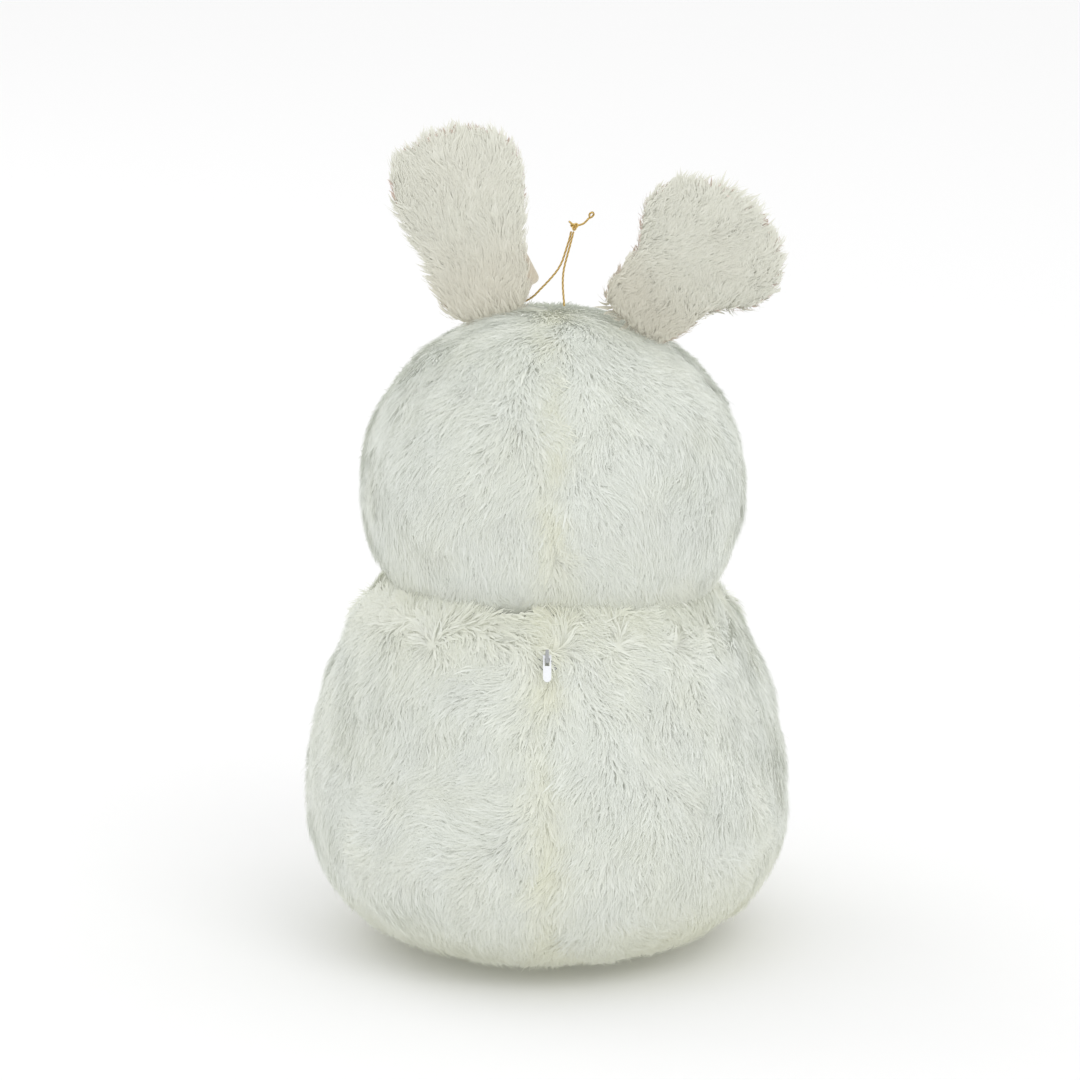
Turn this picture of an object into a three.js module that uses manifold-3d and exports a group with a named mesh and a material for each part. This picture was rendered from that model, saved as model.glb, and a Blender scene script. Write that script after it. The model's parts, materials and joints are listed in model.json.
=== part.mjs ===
// A sitting long-pile stuffed bunny: sewn skin panels around stuffing, a concealed zip in the back seam, two
// ears and two arms that bend at their seams, two feet, safety eyes and nose, and a swing tag on a fine cord.
// Millimetres. The floor is z = 0, the face looks along -Y, and the zip is at the back, towards +Y.
import * as THREE from "three";
import { mergeVertices } from "three/addons/utils/BufferGeometryUtils.js";
import Module from "manifold-3d";

const wasm = await Module();
wasm.setup();

// ---- Driving dimensions ----
const gap = 0.3; // clearance between touching pieces
const skin = 7; // thickness of the pile fabric, pressed

// Body: a pear, round in plan, a little deeper at the back.
const bodyRadius = 116;
const bodyWidestHeight = 66;
const seatRadius = 48; // flat patch that rests on the floor
const backDepthFactor = 1.1; // depth of the back over the half width
const baseSeamHeight = 14;
const bodySideSeamY = 0;

// Neck and head: an egg on its side.
const neckHeight = 176;
const headHalfWidth = 92;
const headHalfDepth = 88;
const headHalfHeight = 86.6;
const headCentreHeight = 221;
const headCentreX = -3; // the head sits a little to one side
const headCentreY = 5;
const headSideSeamY = 5; // the left ear is sewn into this seam, the right one behind it
const neckLedge = 2.2; // the body's neck edge stands this far outside the head's
const neckLiningThickness = 1.5;

// Ears: flat paddles with a round root, which bend about the root's centre. Each is set back from the head's
// side seam, and is widest at a share of its length.
const earRootRadius = 24;
const earLength = 68; // from the root's centre to the tip
const earThickness = 14;
const earSkin = 4.5;
const earSeat = 0.4; // the root stands this far off the head
const ears = {
  left: { seamX: 25, setBack: 0, lean: 14, tiltBack: 6, halfWidth: 32, widest: 0.7 },
  right: { seamX: -44, setBack: 16, lean: -42, tiltBack: 26, halfWidth: 38, widest: 0.5 },
};

// Arms: short paddles that hang from the shoulders and swing forwards.
const armRootRadius = 15;
const armHalfWidth = 18;
const armWidest = 0.62; // share of the length at which the arm is widest
const armLength = 56; // from the shoulder's centre to the paw's end
const armThickness = 31;
const armSkin = 5;
const armSeat = 0.5;
const shoulderHeight = 130;
const shoulderAngle = 43; // around from the front, in plan
const armStandOff = 6; // slope of the hanging arm away from the body's side
const armTurnIn = 12; // turn of the paws towards the middle

// Feet: round pads that lie forward of the body.
const footRadius = 27;
const footHeelRadius = 21;
const footX = 46;
const footToeY = -150;
const footHeelY = -60;
const footNose = 22; // how far the toe end is rounded
const soleSeam = 13; // depth of the sole panel behind the toe
const footSkin = 5;

// Face: eyes and nose with shanks held by washers behind the cloth.
const eyeX = 31;
const eyeHeight = 226;
const eyeRadius = 7.5;
const eyeDome = 5;
const noseHeight = 208;
const noseRadius = 7;
const noseDome = 5;
const shankRadius = 2.2;
const shankEnd = 2.6; // the shank runs this far past its washer
const washerRadius = 8;
const washerThickness = 2;
const washerEase = 1.4; // from the flat washer to the curved cloth
const stitchRadius = 0.8;
const mouthHalfWidth = 11;
const mouthDrop = 9;

// Stuffing: a removable cushion in the body, with a bag of beads under it.
const beadBagTop = 30;

// Zip: it follows the arc of the back, so its slider turns about the arc's centre.
const zipTopHeight = 167; // top end of the slider
const zipLength = 136; // along the arc, stop to stop
const zipSlotWidth = 3; // opening between the two back panels
const zipChannelWidth = 12;
const zipChannelDepth = 3; // cloth left over the slider
const tapeWidth = 11;
const tapeThickness = 0.8;
const tapeEase = 0.8; // the cloth is trimmed to lie this far over the tape's inner side
const coilWidth = 1.4;
const coilThickness = 1.5;
const coilSpace = 1.8; // room for the slider's post
const stopLength = 3;
const sliderLength = 9;
const sliderWidth = 9;
const sliderPlate = 1.4;
const postWidth = 1.1;
const bailWidth = 1.6;
const bailRise = 3.2; // how far the bail stands off the back
const bailLength = 6.4;
const pivotRise = 1.6;
const pivotHoleRadius = 1.3;
const pinRadius = 0.9;
const pullWidth = 3.8;
const pullThickness = 1.2;
const pullLength = 12;
const pullArmLength = 4.4;

// Swing tag, its eyelet and the cord's knot.
const cordDiameter = 1;
const knotRadius = 1.7;
const tagWidth = 30;
const tagLength = 46;
const tagThickness = 0.9;
const tagCorner = 3;
const eyeletHoleRadius = 1.2;
const eyeletRimRadius = 2.6;
const eyeletRim = 0.4; // thickness of the rim on each side of the card
const eyeletInset = 5; // from the tag's lower edge
const tagLean = 27;
const tagTiltBack = 3;
const tagPivot = new THREE.Vector3(18.5, -7.6, 314.5);

// The cord's two strands, from the crown and from the tag up to the knot.
const knotCentre = new THREE.Vector3(-12.8, 6, 345);
const rightStrandPoints = [
  [-8, 10, 307.8], [-7.9, 9.7, 310.2], [-7.7, 9.3, 312.6], [-7.5, 8.9, 315], [-7.4, 8.5, 317.4],
  [-7.4, 8, 320], [-7.6, 7.5, 322.8], [-8, 7.1, 325.4], [-8.6, 6.9, 328], [-9.3, 6.7, 330.6],
  [-10, 6.6, 333.2], [-10.7, 6.5, 335.8], [-11.3, 6.4, 338.2], [-11.9, 6.2, 340.5], [-12.4, 6.1, 342.6],
];
const leftStrandPoints = [
  [17.2, -9.7, 311.9], [16.6, -10.3, 309.8], [15.6, -9.8, 307.9], [14, -7.6, 306.8], [12.2, -4.4, 307.2],
  [10.2, -1, 308.2], [8.2, 2, 309.8], [5.8, 4.4, 312], [3, 5.7, 315.2], [0, 6.2, 318.4],
  [-2.8, 6.3, 321.6], [-5.2, 6.2, 324.8], [-7, 6, 328.2], [-8.3, 5.8, 332], [-9.5, 5.6, 335.8],
  [-10.5, 5.5, 339], [-11.3, 5.6, 342.6],
];

// ---- Colours ----
const ivory = 0xe9eadd;
const cream = 0xe3e2cf;
const lining = 0xe6ddd0;
const filling = 0xf4f4f0;
const black = 0x14110f;
const rose = 0xa9746c;
const white = 0xe4e7ea;
const steel = 0x6d6f72;
const gold = 0xb08a3c;
const card = 0xd9d0b8;

// ---- Small tools ----
const group = new THREE.Group();
const degrees = THREE.MathUtils.degToRad;

function solidOf(geometry) {
  const plain = geometry.clone();
  plain.deleteAttribute("normal");
  plain.deleteAttribute("uv");
  const merged = mergeVertices(plain, 1e-4);
  const mesh = new wasm.Mesh({
    numProp: 3,
    vertProperties: new Float32Array(merged.attributes.position.array),
    triVerts: new Uint32Array(merged.index.array),
  });
  return new wasm.Manifold(mesh);
}

function addNode(name, solid, colour, roughness = 0.95, metalness = 0) {
  const mesh = solid.getMesh();
  const geometry = new THREE.BufferGeometry();
  geometry.setAttribute("position", new THREE.BufferAttribute(new Float32Array(mesh.vertProperties), 3));
  geometry.setIndex(new THREE.BufferAttribute(new Uint32Array(mesh.triVerts), 1));
  geometry.computeVertexNormals();
  const material = new THREE.MeshStandardMaterial({ color: colour, roughness, metalness });
  const node = new THREE.Mesh(geometry, material);
  node.name = name;
  group.add(node);
}

// A block between two corners; a corner left out is far away.
const far = 1000;
function block({ x = [-far, far], y = [-far, far], z = [-far, far] }) {
  const geometry = new THREE.BoxGeometry(x[1] - x[0], y[1] - y[0], z[1] - z[0]);
  geometry.translate((x[0] + x[1]) / 2, (y[0] + y[1]) / 2, (z[0] + z[1]) / 2);
  return solidOf(geometry);
}

// A solid turned about Z from an outline of [radius, height] points that starts and ends on the axis.
function turned(outline, segments) {
  const points = outline.map(([radius, height]) => new THREE.Vector2(radius, height));
  const geometry = new THREE.LatheGeometry(points, segments);
  geometry.rotateX(Math.PI / 2);
  return geometry;
}

// A ring sector about the X axis through the centre of the back's arc, between two radii and two angles.
// The arc of the back, in the middle plane, runs from the widest height to the neck's edge.
const neckShareOuter = Math.sqrt(1 - ((neckHeight - headCentreHeight) / headHalfHeight) ** 2);
const bodyNeckRadius = headHalfWidth * neckShareOuter + neckLedge;
const backFall = backDepthFactor * (bodyRadius - bodyNeckRadius);
const backArcRadius = ((neckHeight - bodyWidestHeight) ** 2 + backFall ** 2) / (2 * backFall);
const backCentreY = bodyRadius * backDepthFactor - backArcRadius;
function backBand(depthOut, depthIn, angleLow, angleHigh, xLow, xHigh) {
  const shape = new THREE.Shape();
  shape.absarc(0, 0, backArcRadius - depthOut, angleLow, angleHigh, false);
  shape.absarc(0, 0, backArcRadius - depthIn, angleHigh, angleLow, true);
  shape.closePath();
  const steps = Math.max(2, Math.round((angleHigh - angleLow) / degrees(4)));
  const geometry = new THREE.ExtrudeGeometry(shape, {
    depth: xHigh - xLow, bevelEnabled: false, curveSegments: steps,
  });
  // The shape's axes become Y and Z, and the extrusion runs along X.
  geometry.applyMatrix4(new THREE.Matrix4().makeBasis(
    new THREE.Vector3(0, 1, 0), new THREE.Vector3(0, 0, 1), new THREE.Vector3(1, 0, 0),
  ));
  geometry.translate(xLow, backCentreY, bodyWidestHeight);
  return solidOf(geometry);
}

function placed(solid, matrix) {
  return solid.transform(matrix.elements);
}

// ---- Body ----
// The body's outline, moved in by an inset: a flat seat, a quarter ellipse, then the arc of the back.
function bodyRadiusAt(height, inset) {
  const rise = height - bodyWidestHeight;
  return (backCentreY + Math.sqrt((backArcRadius - inset) ** 2 - rise ** 2)) / backDepthFactor;
}

const beyond = 6; // how far a cutter runs past what it cuts
function bodySolid(inset) {
  const widest = bodyRadiusAt(bodyWidestHeight, inset);
  const outline = [[0, inset]];
  const cornerSteps = 8;
  for (let i = 0; i <= cornerSteps; i++) {
    const turn = (Math.PI / 2) * (i / cornerSteps);
    const radius = seatRadius + (widest - seatRadius) * Math.sin(turn);
    outline.push([radius, bodyWidestHeight - (bodyWidestHeight - inset) * Math.cos(turn)]);
  }
  const backSteps = 8;
  for (let i = 1; i <= backSteps; i++) {
    const height = bodyWidestHeight + (neckHeight - bodyWidestHeight) * (i / backSteps);
    outline.push([bodyRadiusAt(height, inset), height]);
  }
  const top = neckHeight + beyond;
  outline.push([bodyRadiusAt(top, inset), top], [0, top]);
  const geometry = turned(outline, 28);
  const position = geometry.attributes.position;
  for (let i = 0; i < position.count; i++) {
    if (position.getY(i) > 0) position.setY(i, position.getY(i) * backDepthFactor);
  }
  return solidOf(geometry);
}

const bodyShell = bodySolid(0).subtract(bodySolid(skin)).intersect(block({ z: [-far, neckHeight - gap / 2] }));

const zipTopAngle = Math.asin((zipTopHeight - bodyWidestHeight) / backArcRadius);
const zipBottomAngle = zipTopAngle - zipLength / backArcRadius;
const zipSlot = backBand(-beyond, skin + beyond, zipBottomAngle, zipTopAngle + gap / backArcRadius,
  -zipSlotWidth / 2, zipSlotWidth / 2);
const zipChannel = backBand(zipChannelDepth, skin + beyond, zipBottomAngle - gap / backArcRadius,
  zipTopAngle + gap / backArcRadius, -zipChannelWidth / 2, zipChannelWidth / 2);

const tapeDepth = skin + tapeEase;
const hollowHalfWidth = tapeWidth + coilSpace / 2 + 2 * gap;
const tapeRebate = backBand(tapeDepth - gap, skin + beyond, zipBottomAngle - gap / backArcRadius,
  zipTopAngle + gap / backArcRadius, -hollowHalfWidth, hollowHalfWidth);

function backPanel(side) {
  const x = side > 0 ? [gap / 2, far] : [-far, -gap / 2];
  return bodyShell
    .intersect(block({ x, y: [bodySideSeamY + gap / 2, far], z: [baseSeamHeight + gap / 2, far] }))
    .subtract(zipSlot)
    .subtract(zipChannel)
    .subtract(tapeRebate);
}
addNode("body_back_left_panel", backPanel(1), ivory);
addNode("body_back_right_panel", backPanel(-1), ivory);
addNode("body_front_panel", bodyShell.intersect(
  block({ y: [-far, bodySideSeamY - gap / 2], z: [baseSeamHeight + gap / 2, far] })), ivory);
addNode("base_panel", bodyShell.intersect(block({ z: [-far, baseSeamHeight - gap / 2] })), cream);

// The cushion and the bead bag fill the skin; the cushion leaves a hollow behind the zip.
const sliderInnerDepth = tapeDepth + tapeThickness + gap + coilThickness + gap + sliderPlate;
const zipHollow = backBand(-beyond, sliderInnerDepth + 2 * gap, zipBottomAngle - 3 * gap / backArcRadius,
  zipTopAngle + 3 * gap / backArcRadius, -hollowHalfWidth, hollowHalfWidth);
const bodyFilling = bodySolid(skin + gap).intersect(block({ z: [-far, neckHeight - gap] }));
addNode("inner_cushion", bodyFilling
  .intersect(block({ z: [beadBagTop + gap, far] })).subtract(zipHollow), filling);
addNode("bead_bag", bodyFilling.intersect(block({ z: [-far, beadBagTop] })), cream);

// ---- Zip ----
const tapeInnerX = coilSpace / 2 + gap;
const coilDepth = tapeDepth + tapeThickness + gap;
const stopAngle = stopLength / backArcRadius;
for (const [side, name] of [[1, "left"], [-1, "right"]]) {
  const span = (low, high) => (side > 0 ? [low, high] : [-high, -low]);
  addNode("zip_tape_" + name, backBand(tapeDepth, tapeDepth + tapeThickness, zipBottomAngle, zipTopAngle,
    ...span(tapeInnerX, tapeInnerX + tapeWidth - coilSpace / 2)), white, 0.9);
  addNode("zip_coil_" + name, backBand(coilDepth, coilDepth + coilThickness,
    zipBottomAngle + stopAngle + gap / backArcRadius, zipTopAngle - stopAngle - gap / backArcRadius,
    ...span(coilSpace / 2, coilSpace / 2 + coilWidth)), white, 0.5);
}
const stopHalfWidth = coilSpace / 2 + coilWidth;
addNode("zip_top_stop", backBand(coilDepth, coilDepth + coilThickness, zipTopAngle - stopAngle, zipTopAngle,
  -stopHalfWidth, stopHalfWidth), white, 0.5);
addNode("zip_bottom_stop", backBand(coilDepth, coilDepth + coilThickness, zipBottomAngle,
  zipBottomAngle + stopAngle, -stopHalfWidth, stopHalfWidth), white, 0.5);

// The slider: two plates joined by a post that runs between the coils, and a bail that stands out of the slot.
const sliderTopAngle = zipTopAngle - stopAngle - 2 * gap / backArcRadius;
const sliderBottomAngle = sliderTopAngle - sliderLength / backArcRadius;
const sliderMidAngle = (sliderTopAngle + sliderBottomAngle) / 2;
const outerPlateDepth = zipChannelDepth + 2 * gap;
const innerPlateDepth = coilDepth + coilThickness + gap;
const bailHalfAngle = bailLength / 2 / backArcRadius;

function backFrame(angle, rise) {
  // X across, Y along the outward normal, Z up along the arc, at a height above the back's surface.
  const normal = new THREE.Vector3(0, Math.cos(angle), Math.sin(angle));
  const along = new THREE.Vector3(0, -Math.sin(angle), Math.cos(angle));
  const matrix = new THREE.Matrix4().makeBasis(new THREE.Vector3(1, 0, 0), normal, along);
  const centre = normal.clone().multiplyScalar(backArcRadius + rise);
  matrix.setPosition(0, backCentreY + centre.y, bodyWidestHeight + centre.z);
  return matrix;
}

function crossPin(radius, length) {
  const geometry = new THREE.CylinderGeometry(radius, radius, length, 12);
  geometry.rotateZ(Math.PI / 2);
  return solidOf(geometry);
}

const pivotFrame = backFrame(sliderMidAngle, pivotRise);
const overlap = 0.2; // joined pieces of one solid run into each other by this much
addNode("zip_slider", backBand(outerPlateDepth, outerPlateDepth + sliderPlate, sliderBottomAngle,
  sliderTopAngle, -sliderWidth / 2, sliderWidth / 2)
  .add(backBand(innerPlateDepth, innerPlateDepth + sliderPlate, sliderBottomAngle, sliderTopAngle,
    -sliderWidth / 2, sliderWidth / 2))
  .add(backBand(outerPlateDepth + overlap, innerPlateDepth + overlap, sliderMidAngle - bailHalfAngle / 2,
    sliderMidAngle + bailHalfAngle / 2, -postWidth / 2, postWidth / 2))
  .add(backBand(-bailRise, outerPlateDepth + overlap, sliderMidAngle - bailHalfAngle,
    sliderMidAngle + bailHalfAngle, -bailWidth / 2, bailWidth / 2))
  .subtract(placed(crossPin(pivotHoleRadius, far), pivotFrame)), steel, 0.35, 0.9);

// The pull: a pin through the bail, two arms beside it and a round-ended plate that hangs down.
function pullSolid() {
  const plate = new THREE.Shape();
  const halfWidth = pullWidth / 2;
  plate.moveTo(-halfWidth, -pullArmLength);
  plate.lineTo(-halfWidth, -(pullLength - halfWidth));
  plate.absarc(0, -(pullLength - halfWidth), halfWidth, Math.PI, 2 * Math.PI, false);
  plate.lineTo(halfWidth, -pullArmLength);
  plate.closePath();
  const geometry = new THREE.ExtrudeGeometry(plate, {
    depth: pullThickness, bevelEnabled: false, curveSegments: 8,
  });
  geometry.rotateX(Math.PI / 2);
  geometry.translate(0, pullThickness / 2, 0);
  let solid = solidOf(geometry);
  const inner = bailWidth / 2 + gap;
  for (const x of [[inner, halfWidth], [-halfWidth, -inner]]) {
    solid = solid.add(block({
      x, y: [-pullThickness / 2, pullThickness / 2], z: [-pullArmLength - overlap, pinRadius],
    }));
  }
  return solid.add(crossPin(pinRadius, pullWidth));
}
addNode("zip_pull", placed(pullSolid(), pivotFrame), white, 0.35);

// ---- Head ----
function headSolid(inset) {
  const geometry = new THREE.SphereGeometry(1, 28, 14);
  geometry.rotateX(Math.PI / 2);
  geometry.scale(headHalfWidth - inset, headHalfDepth - inset, headHalfHeight - inset);
  geometry.translate(headCentreX, headCentreY, headCentreHeight);
  return solidOf(geometry);
}

// A point on the front of the head, x from the head's middle, with a frame whose Y axis is the outward normal.
function faceFrame(x, height) {
  const rise = height - headCentreHeight;
  const y = -headHalfDepth * Math.sqrt(1 - (x / headHalfWidth) ** 2 - (rise / headHalfHeight) ** 2);
  const normal = new THREE.Vector3(
    x / headHalfWidth ** 2, y / headHalfDepth ** 2, rise / headHalfHeight ** 2).normalize();
  const across = new THREE.Vector3(0, 0, 1).cross(normal).normalize().negate();
  const up = new THREE.Vector3().crossVectors(across, normal);
  const matrix = new THREE.Matrix4().makeBasis(across, normal, up);
  matrix.setPosition(headCentreX + x, headCentreY + y, height);
  return matrix;
}

function turnedAboutNormal(outline, segments) {
  const geometry = turned(outline, segments);
  geometry.rotateX(-Math.PI / 2); // the outline's height runs along Y
  return solidOf(geometry);
}

// A domed button on a shank, and the room that the shank and its washer need behind the cloth.
const washerDepth = skin + washerEase;
const shankLength = washerDepth + washerThickness + shankEnd;
function buttonSolid(radius, dome) {
  const outline = [[0, -shankLength], [shankRadius, -shankLength], [shankRadius, gap], [radius, gap]];
  const steps = 5;
  for (let i = 1; i <= steps; i++) {
    const turn = (Math.PI / 2) * (i / steps);
    outline.push([i === steps ? 0 : radius * Math.cos(turn), gap + dome * Math.sin(turn)]);
  }
  return turnedAboutNormal(outline, 14);
}
const shankHole = turnedAboutNormal(
  [[0, -skin * 2], [shankRadius + gap, -skin * 2], [shankRadius + gap, skin], [0, skin]], 12);
const washerSolid = turnedAboutNormal([
  [shankRadius + gap, -washerDepth - washerThickness], [washerRadius, -washerDepth - washerThickness],
  [washerRadius, -washerDepth], [shankRadius + gap, -washerDepth],
  [shankRadius + gap, -washerDepth - washerThickness],
], 16);
const washerRoom = turnedAboutNormal([
  [0, -shankLength - gap], [washerRadius + gap, -shankLength - gap],
  [washerRadius + gap, gap - washerDepth], [0, gap - washerDepth],
], 16);

const faceParts = [
  { name: "eye_left", frame: faceFrame(eyeX, eyeHeight), radius: eyeRadius, dome: eyeDome, colour: black },
  { name: "eye_right", frame: faceFrame(-eyeX, eyeHeight), radius: eyeRadius, dome: eyeDome, colour: black },
  { name: "nose", frame: faceFrame(0, noseHeight), radius: noseRadius, dome: noseDome, colour: rose },
];

const headShell = headSolid(0).subtract(headSolid(skin))
  .intersect(block({ z: [neckHeight + gap / 2, far] }));
addNode("head_back_left_panel", headShell.intersect(
  block({ x: [headCentreX + gap / 2, far], y: [headSideSeamY + gap / 2, far] })), ivory);
addNode("head_back_right_panel", headShell.intersect(
  block({ x: [-far, headCentreX - gap / 2], y: [headSideSeamY + gap / 2, far] })), ivory);
let facePanel = headShell.intersect(block({ y: [-far, headSideSeamY - gap / 2] }));
let headStuffing = headSolid(skin + gap)
  .intersect(block({ z: [neckHeight + neckLiningThickness + 2 * gap, far] }));
for (const part of faceParts) {
  addNode(part.name, placed(buttonSolid(part.radius, part.dome), part.frame), part.colour, 0.12);
  addNode(part.name + "_washer", placed(washerSolid, part.frame), white, 0.5);
  facePanel = facePanel.subtract(placed(shankHole, part.frame)).subtract(placed(washerRoom, part.frame));
  headStuffing = headStuffing.subtract(placed(shankHole, part.frame)).subtract(placed(washerRoom, part.frame));
}
addNode("face_panel", facePanel, ivory);
addNode("head_stuffing", headStuffing, filling);

// The neck lining closes the head, so that the stuffing stays in when the zip is open.
const neckShareInner = Math.sqrt(1 - ((neckHeight - headCentreHeight) / (headHalfHeight - skin)) ** 2);
const neckLining = new THREE.CylinderGeometry(1, 1, neckLiningThickness, 32);
neckLining.rotateX(Math.PI / 2);
const neckLiningEase = 1; // the lining's edge stays this far inside the skin
neckLining.scale(
  neckShareInner * (headHalfWidth - skin) - neckLiningEase,
  neckShareInner * (headHalfDepth - skin) - neckLiningEase, 1);
neckLining.translate(headCentreX, headCentreY, neckHeight + gap + neckLiningThickness / 2);
addNode("neck_lining", solidOf(neckLining), cream);

// The mouth: one stitch down from the nose and two curved stitches beside it.
function stitch(points) {
  const lift = gap + stitchRadius;
  const path = new THREE.CatmullRomCurve3(points.map(([x, height]) => {
    const frame = faceFrame(x, height);
    return new THREE.Vector3(0, lift, 0).applyMatrix4(frame);
  }));
  const section = new THREE.Shape();
  section.absarc(0, 0, stitchRadius, 0, 2 * Math.PI, false);
  return solidOf(new THREE.ExtrudeGeometry(section, {
    steps: 5, curveSegments: 3, extrudePath: path, bevelEnabled: false,
  }));
}
const mouthTop = noseHeight - noseRadius - 2 * gap - stitchRadius;
const mouthFork = mouthTop - mouthDrop;
let mouth = stitch([[0, mouthTop], [0, mouthTop - mouthDrop / 2], [0, mouthFork - stitchRadius]]);
for (const side of [1, -1]) {
  mouth = mouth.add(stitch([
    [0, mouthFork], [side * mouthHalfWidth * 0.35, mouthFork - 3.4],
    [side * mouthHalfWidth * 0.75, mouthFork - 3], [side * mouthHalfWidth, mouthFork + 0.6],
  ]));
}
addNode("mouth_stitching", mouth, rose);

// ---- Ears ----
// A flattened paddle in the XZ plane: a round root about the origin, then a flare to a blunt tip.
function paddle(rootRadius, halfWidth, widest, length, thickness, inset, segments) {
  const root = rootRadius - inset;
  const wide = halfWidth - inset;
  const tip = length - inset;
  const outline = new THREE.Path();
  outline.moveTo(0, -root);
  outline.absarc(0, 0, root, -Math.PI / 2, 0, false);
  outline.bezierCurveTo(root, tip * 0.2, wide, tip * 0.35, wide, tip * widest);
  outline.bezierCurveTo(wide, tip * (1 + widest) / 2, wide * 0.62, tip, 0, tip);
  const points = outline.getPoints(4).map((p) => [Math.max(p.x, 0), p.y]);
  points[0][0] = 0;
  points[points.length - 1][0] = 0;
  const geometry = turned(points, segments);
  geometry.scale(1, (thickness / 2 - inset) / wide, 1);
  return solidOf(geometry);
}

for (const [side, ear] of Object.entries(ears)) {
  const across = ear.seamX - headCentreX;
  const z = headHalfHeight * Math.sqrt(1 - (across / headHalfWidth) ** 2 - (ear.setBack / headHalfDepth) ** 2);
  const normal = new THREE.Vector3(across / headHalfWidth ** 2, ear.setBack / headHalfDepth ** 2,
    z / headHalfHeight ** 2).normalize();
  const centre = new THREE.Vector3(ear.seamX, headCentreY + ear.setBack, headCentreHeight + z)
    .addScaledVector(normal, earRootRadius + earSeat);
  const frame = new THREE.Matrix4().makeRotationY(degrees(ear.lean))
    .multiply(new THREE.Matrix4().makeRotationX(-degrees(ear.tiltBack)))
    .setPosition(centre);
  const outer = paddle(earRootRadius, ear.halfWidth, ear.widest, earLength, earThickness, 0, 16);
  const hollow = paddle(earRootRadius, ear.halfWidth, ear.widest, earLength, earThickness, earSkin, 16);
  const wadding = paddle(earRootRadius, ear.halfWidth, ear.widest, earLength, earThickness, earSkin + gap, 16);
  const shell = outer.subtract(hollow);
  addNode("ear_" + side + "_back", placed(shell.intersect(block({ y: [gap / 2, far] })), frame), ivory);
  addNode("ear_" + side + "_lining", placed(shell.intersect(block({ y: [-far, -gap / 2] })), frame), lining);
  addNode("ear_" + side + "_wadding", placed(wadding, frame), filling);
}

// ---- Arms ----
const shoulderTurn = degrees(shoulderAngle);
const pawHeight = Math.max(shoulderHeight - armLength, bodyWidestHeight);
const armOutward = degrees(armStandOff)
  + Math.atan2(bodyRadiusAt(pawHeight, 0) - bodyRadiusAt(shoulderHeight, 0), armLength);
for (const [side, name] of [[1, "left"], [-1, "right"]]) {
  const radius = bodyRadiusAt(shoulderHeight, 0);
  const slope = (shoulderHeight - bodyWidestHeight) / backDepthFactor
    / Math.sqrt(backArcRadius ** 2 - (shoulderHeight - bodyWidestHeight) ** 2);
  const outward = new THREE.Vector3(side * Math.sin(shoulderTurn), -Math.cos(shoulderTurn), 0);
  const normal = outward.clone().setZ(slope).normalize();
  const centre = outward.clone().multiplyScalar(radius).setZ(shoulderHeight)
    .addScaledVector(normal, armRootRadius + armSeat);
  // The paddle's flat side faces the body, and it hangs down and a little outwards.
  const hang = outward.clone().multiplyScalar(Math.sin(armOutward));
  hang.z = -Math.cos(armOutward);
  hang.applyAxisAngle(outward, -side * degrees(armTurnIn));
  const faceOut = outward.clone().addScaledVector(hang, -outward.dot(hang)).normalize();
  const across = new THREE.Vector3().crossVectors(faceOut, hang);
  const frame = new THREE.Matrix4().makeBasis(across, faceOut, hang).setPosition(centre);
  const outer = paddle(armRootRadius, armHalfWidth, armWidest, armLength, armThickness, 0, 12);
  const hollow = paddle(armRootRadius, armHalfWidth, armWidest, armLength, armThickness, armSkin, 12);
  const stuffing = paddle(armRootRadius, armHalfWidth, armWidest, armLength, armThickness, armSkin + gap, 12);
  const shell = outer.subtract(hollow);
  addNode("arm_" + name + "_outer", placed(shell.intersect(block({ y: [gap / 2, far] })), frame), ivory);
  addNode("arm_" + name + "_inner", placed(shell.intersect(block({ y: [-far, -gap / 2] })), frame), ivory);
  addNode("arm_" + name + "_stuffing", placed(stuffing, frame), filling);
}

// ---- Feet ----
// A pad with a round section along Y, rounded at the toe, its heel end run into the body.
function footSolid(inset) {
  const radius = footRadius - inset;
  const toe = -footToeY - inset;
  const outline = [[0, -footHeelY], [footHeelRadius - inset, -footHeelY]];
  const steps = 6;
  for (let i = 0; i <= steps; i++) {
    const turn = (Math.PI / 2) * (i / steps);
    const along = toe - (footNose - inset) * (1 - Math.sin(turn));
    outline.push([i === steps ? 0 : radius * Math.cos(turn) ** 0.7, along]);
  }
  const geometry = turned(outline, 16);
  geometry.rotateX(Math.PI / 2); // the outline's height runs towards -Y
  return geometry;
}

const bodyAndGap = bodySolid(-gap);
for (const [side, name] of [[1, "left"], [-1, "right"]]) {
  const make = (inset) => solidOf(footSolid(inset).translate(side * footX, 0, footRadius))
    .subtract(bodyAndGap);
  const hollow = solidOf(footSolid(footSkin).translate(side * footX, 0, footRadius));
  const shell = make(0).subtract(hollow);
  const seamY = footToeY + soleSeam;
  addNode("foot_" + name + "_upper", shell.intersect(block({ y: [seamY + gap / 2, far] })), ivory);
  addNode("foot_" + name + "_sole", shell.intersect(block({ y: [-far, seamY - gap / 2] })), lining);
  addNode("foot_" + name + "_stuffing", make(footSkin + gap), filling);
}

// ---- Swing tag and its cord ----
const tagFrame = new THREE.Matrix4().makeRotationY(degrees(tagLean))
  .multiply(new THREE.Matrix4().makeRotationX(-degrees(tagTiltBack)))
  .setPosition(tagPivot);

function facingY(shape, thickness) {
  const geometry = new THREE.ExtrudeGeometry(shape, {
    depth: thickness, bevelEnabled: false, curveSegments: 5,
  });
  geometry.rotateX(Math.PI / 2);
  geometry.translate(0, thickness / 2, 0);
  return geometry;
}

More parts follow.
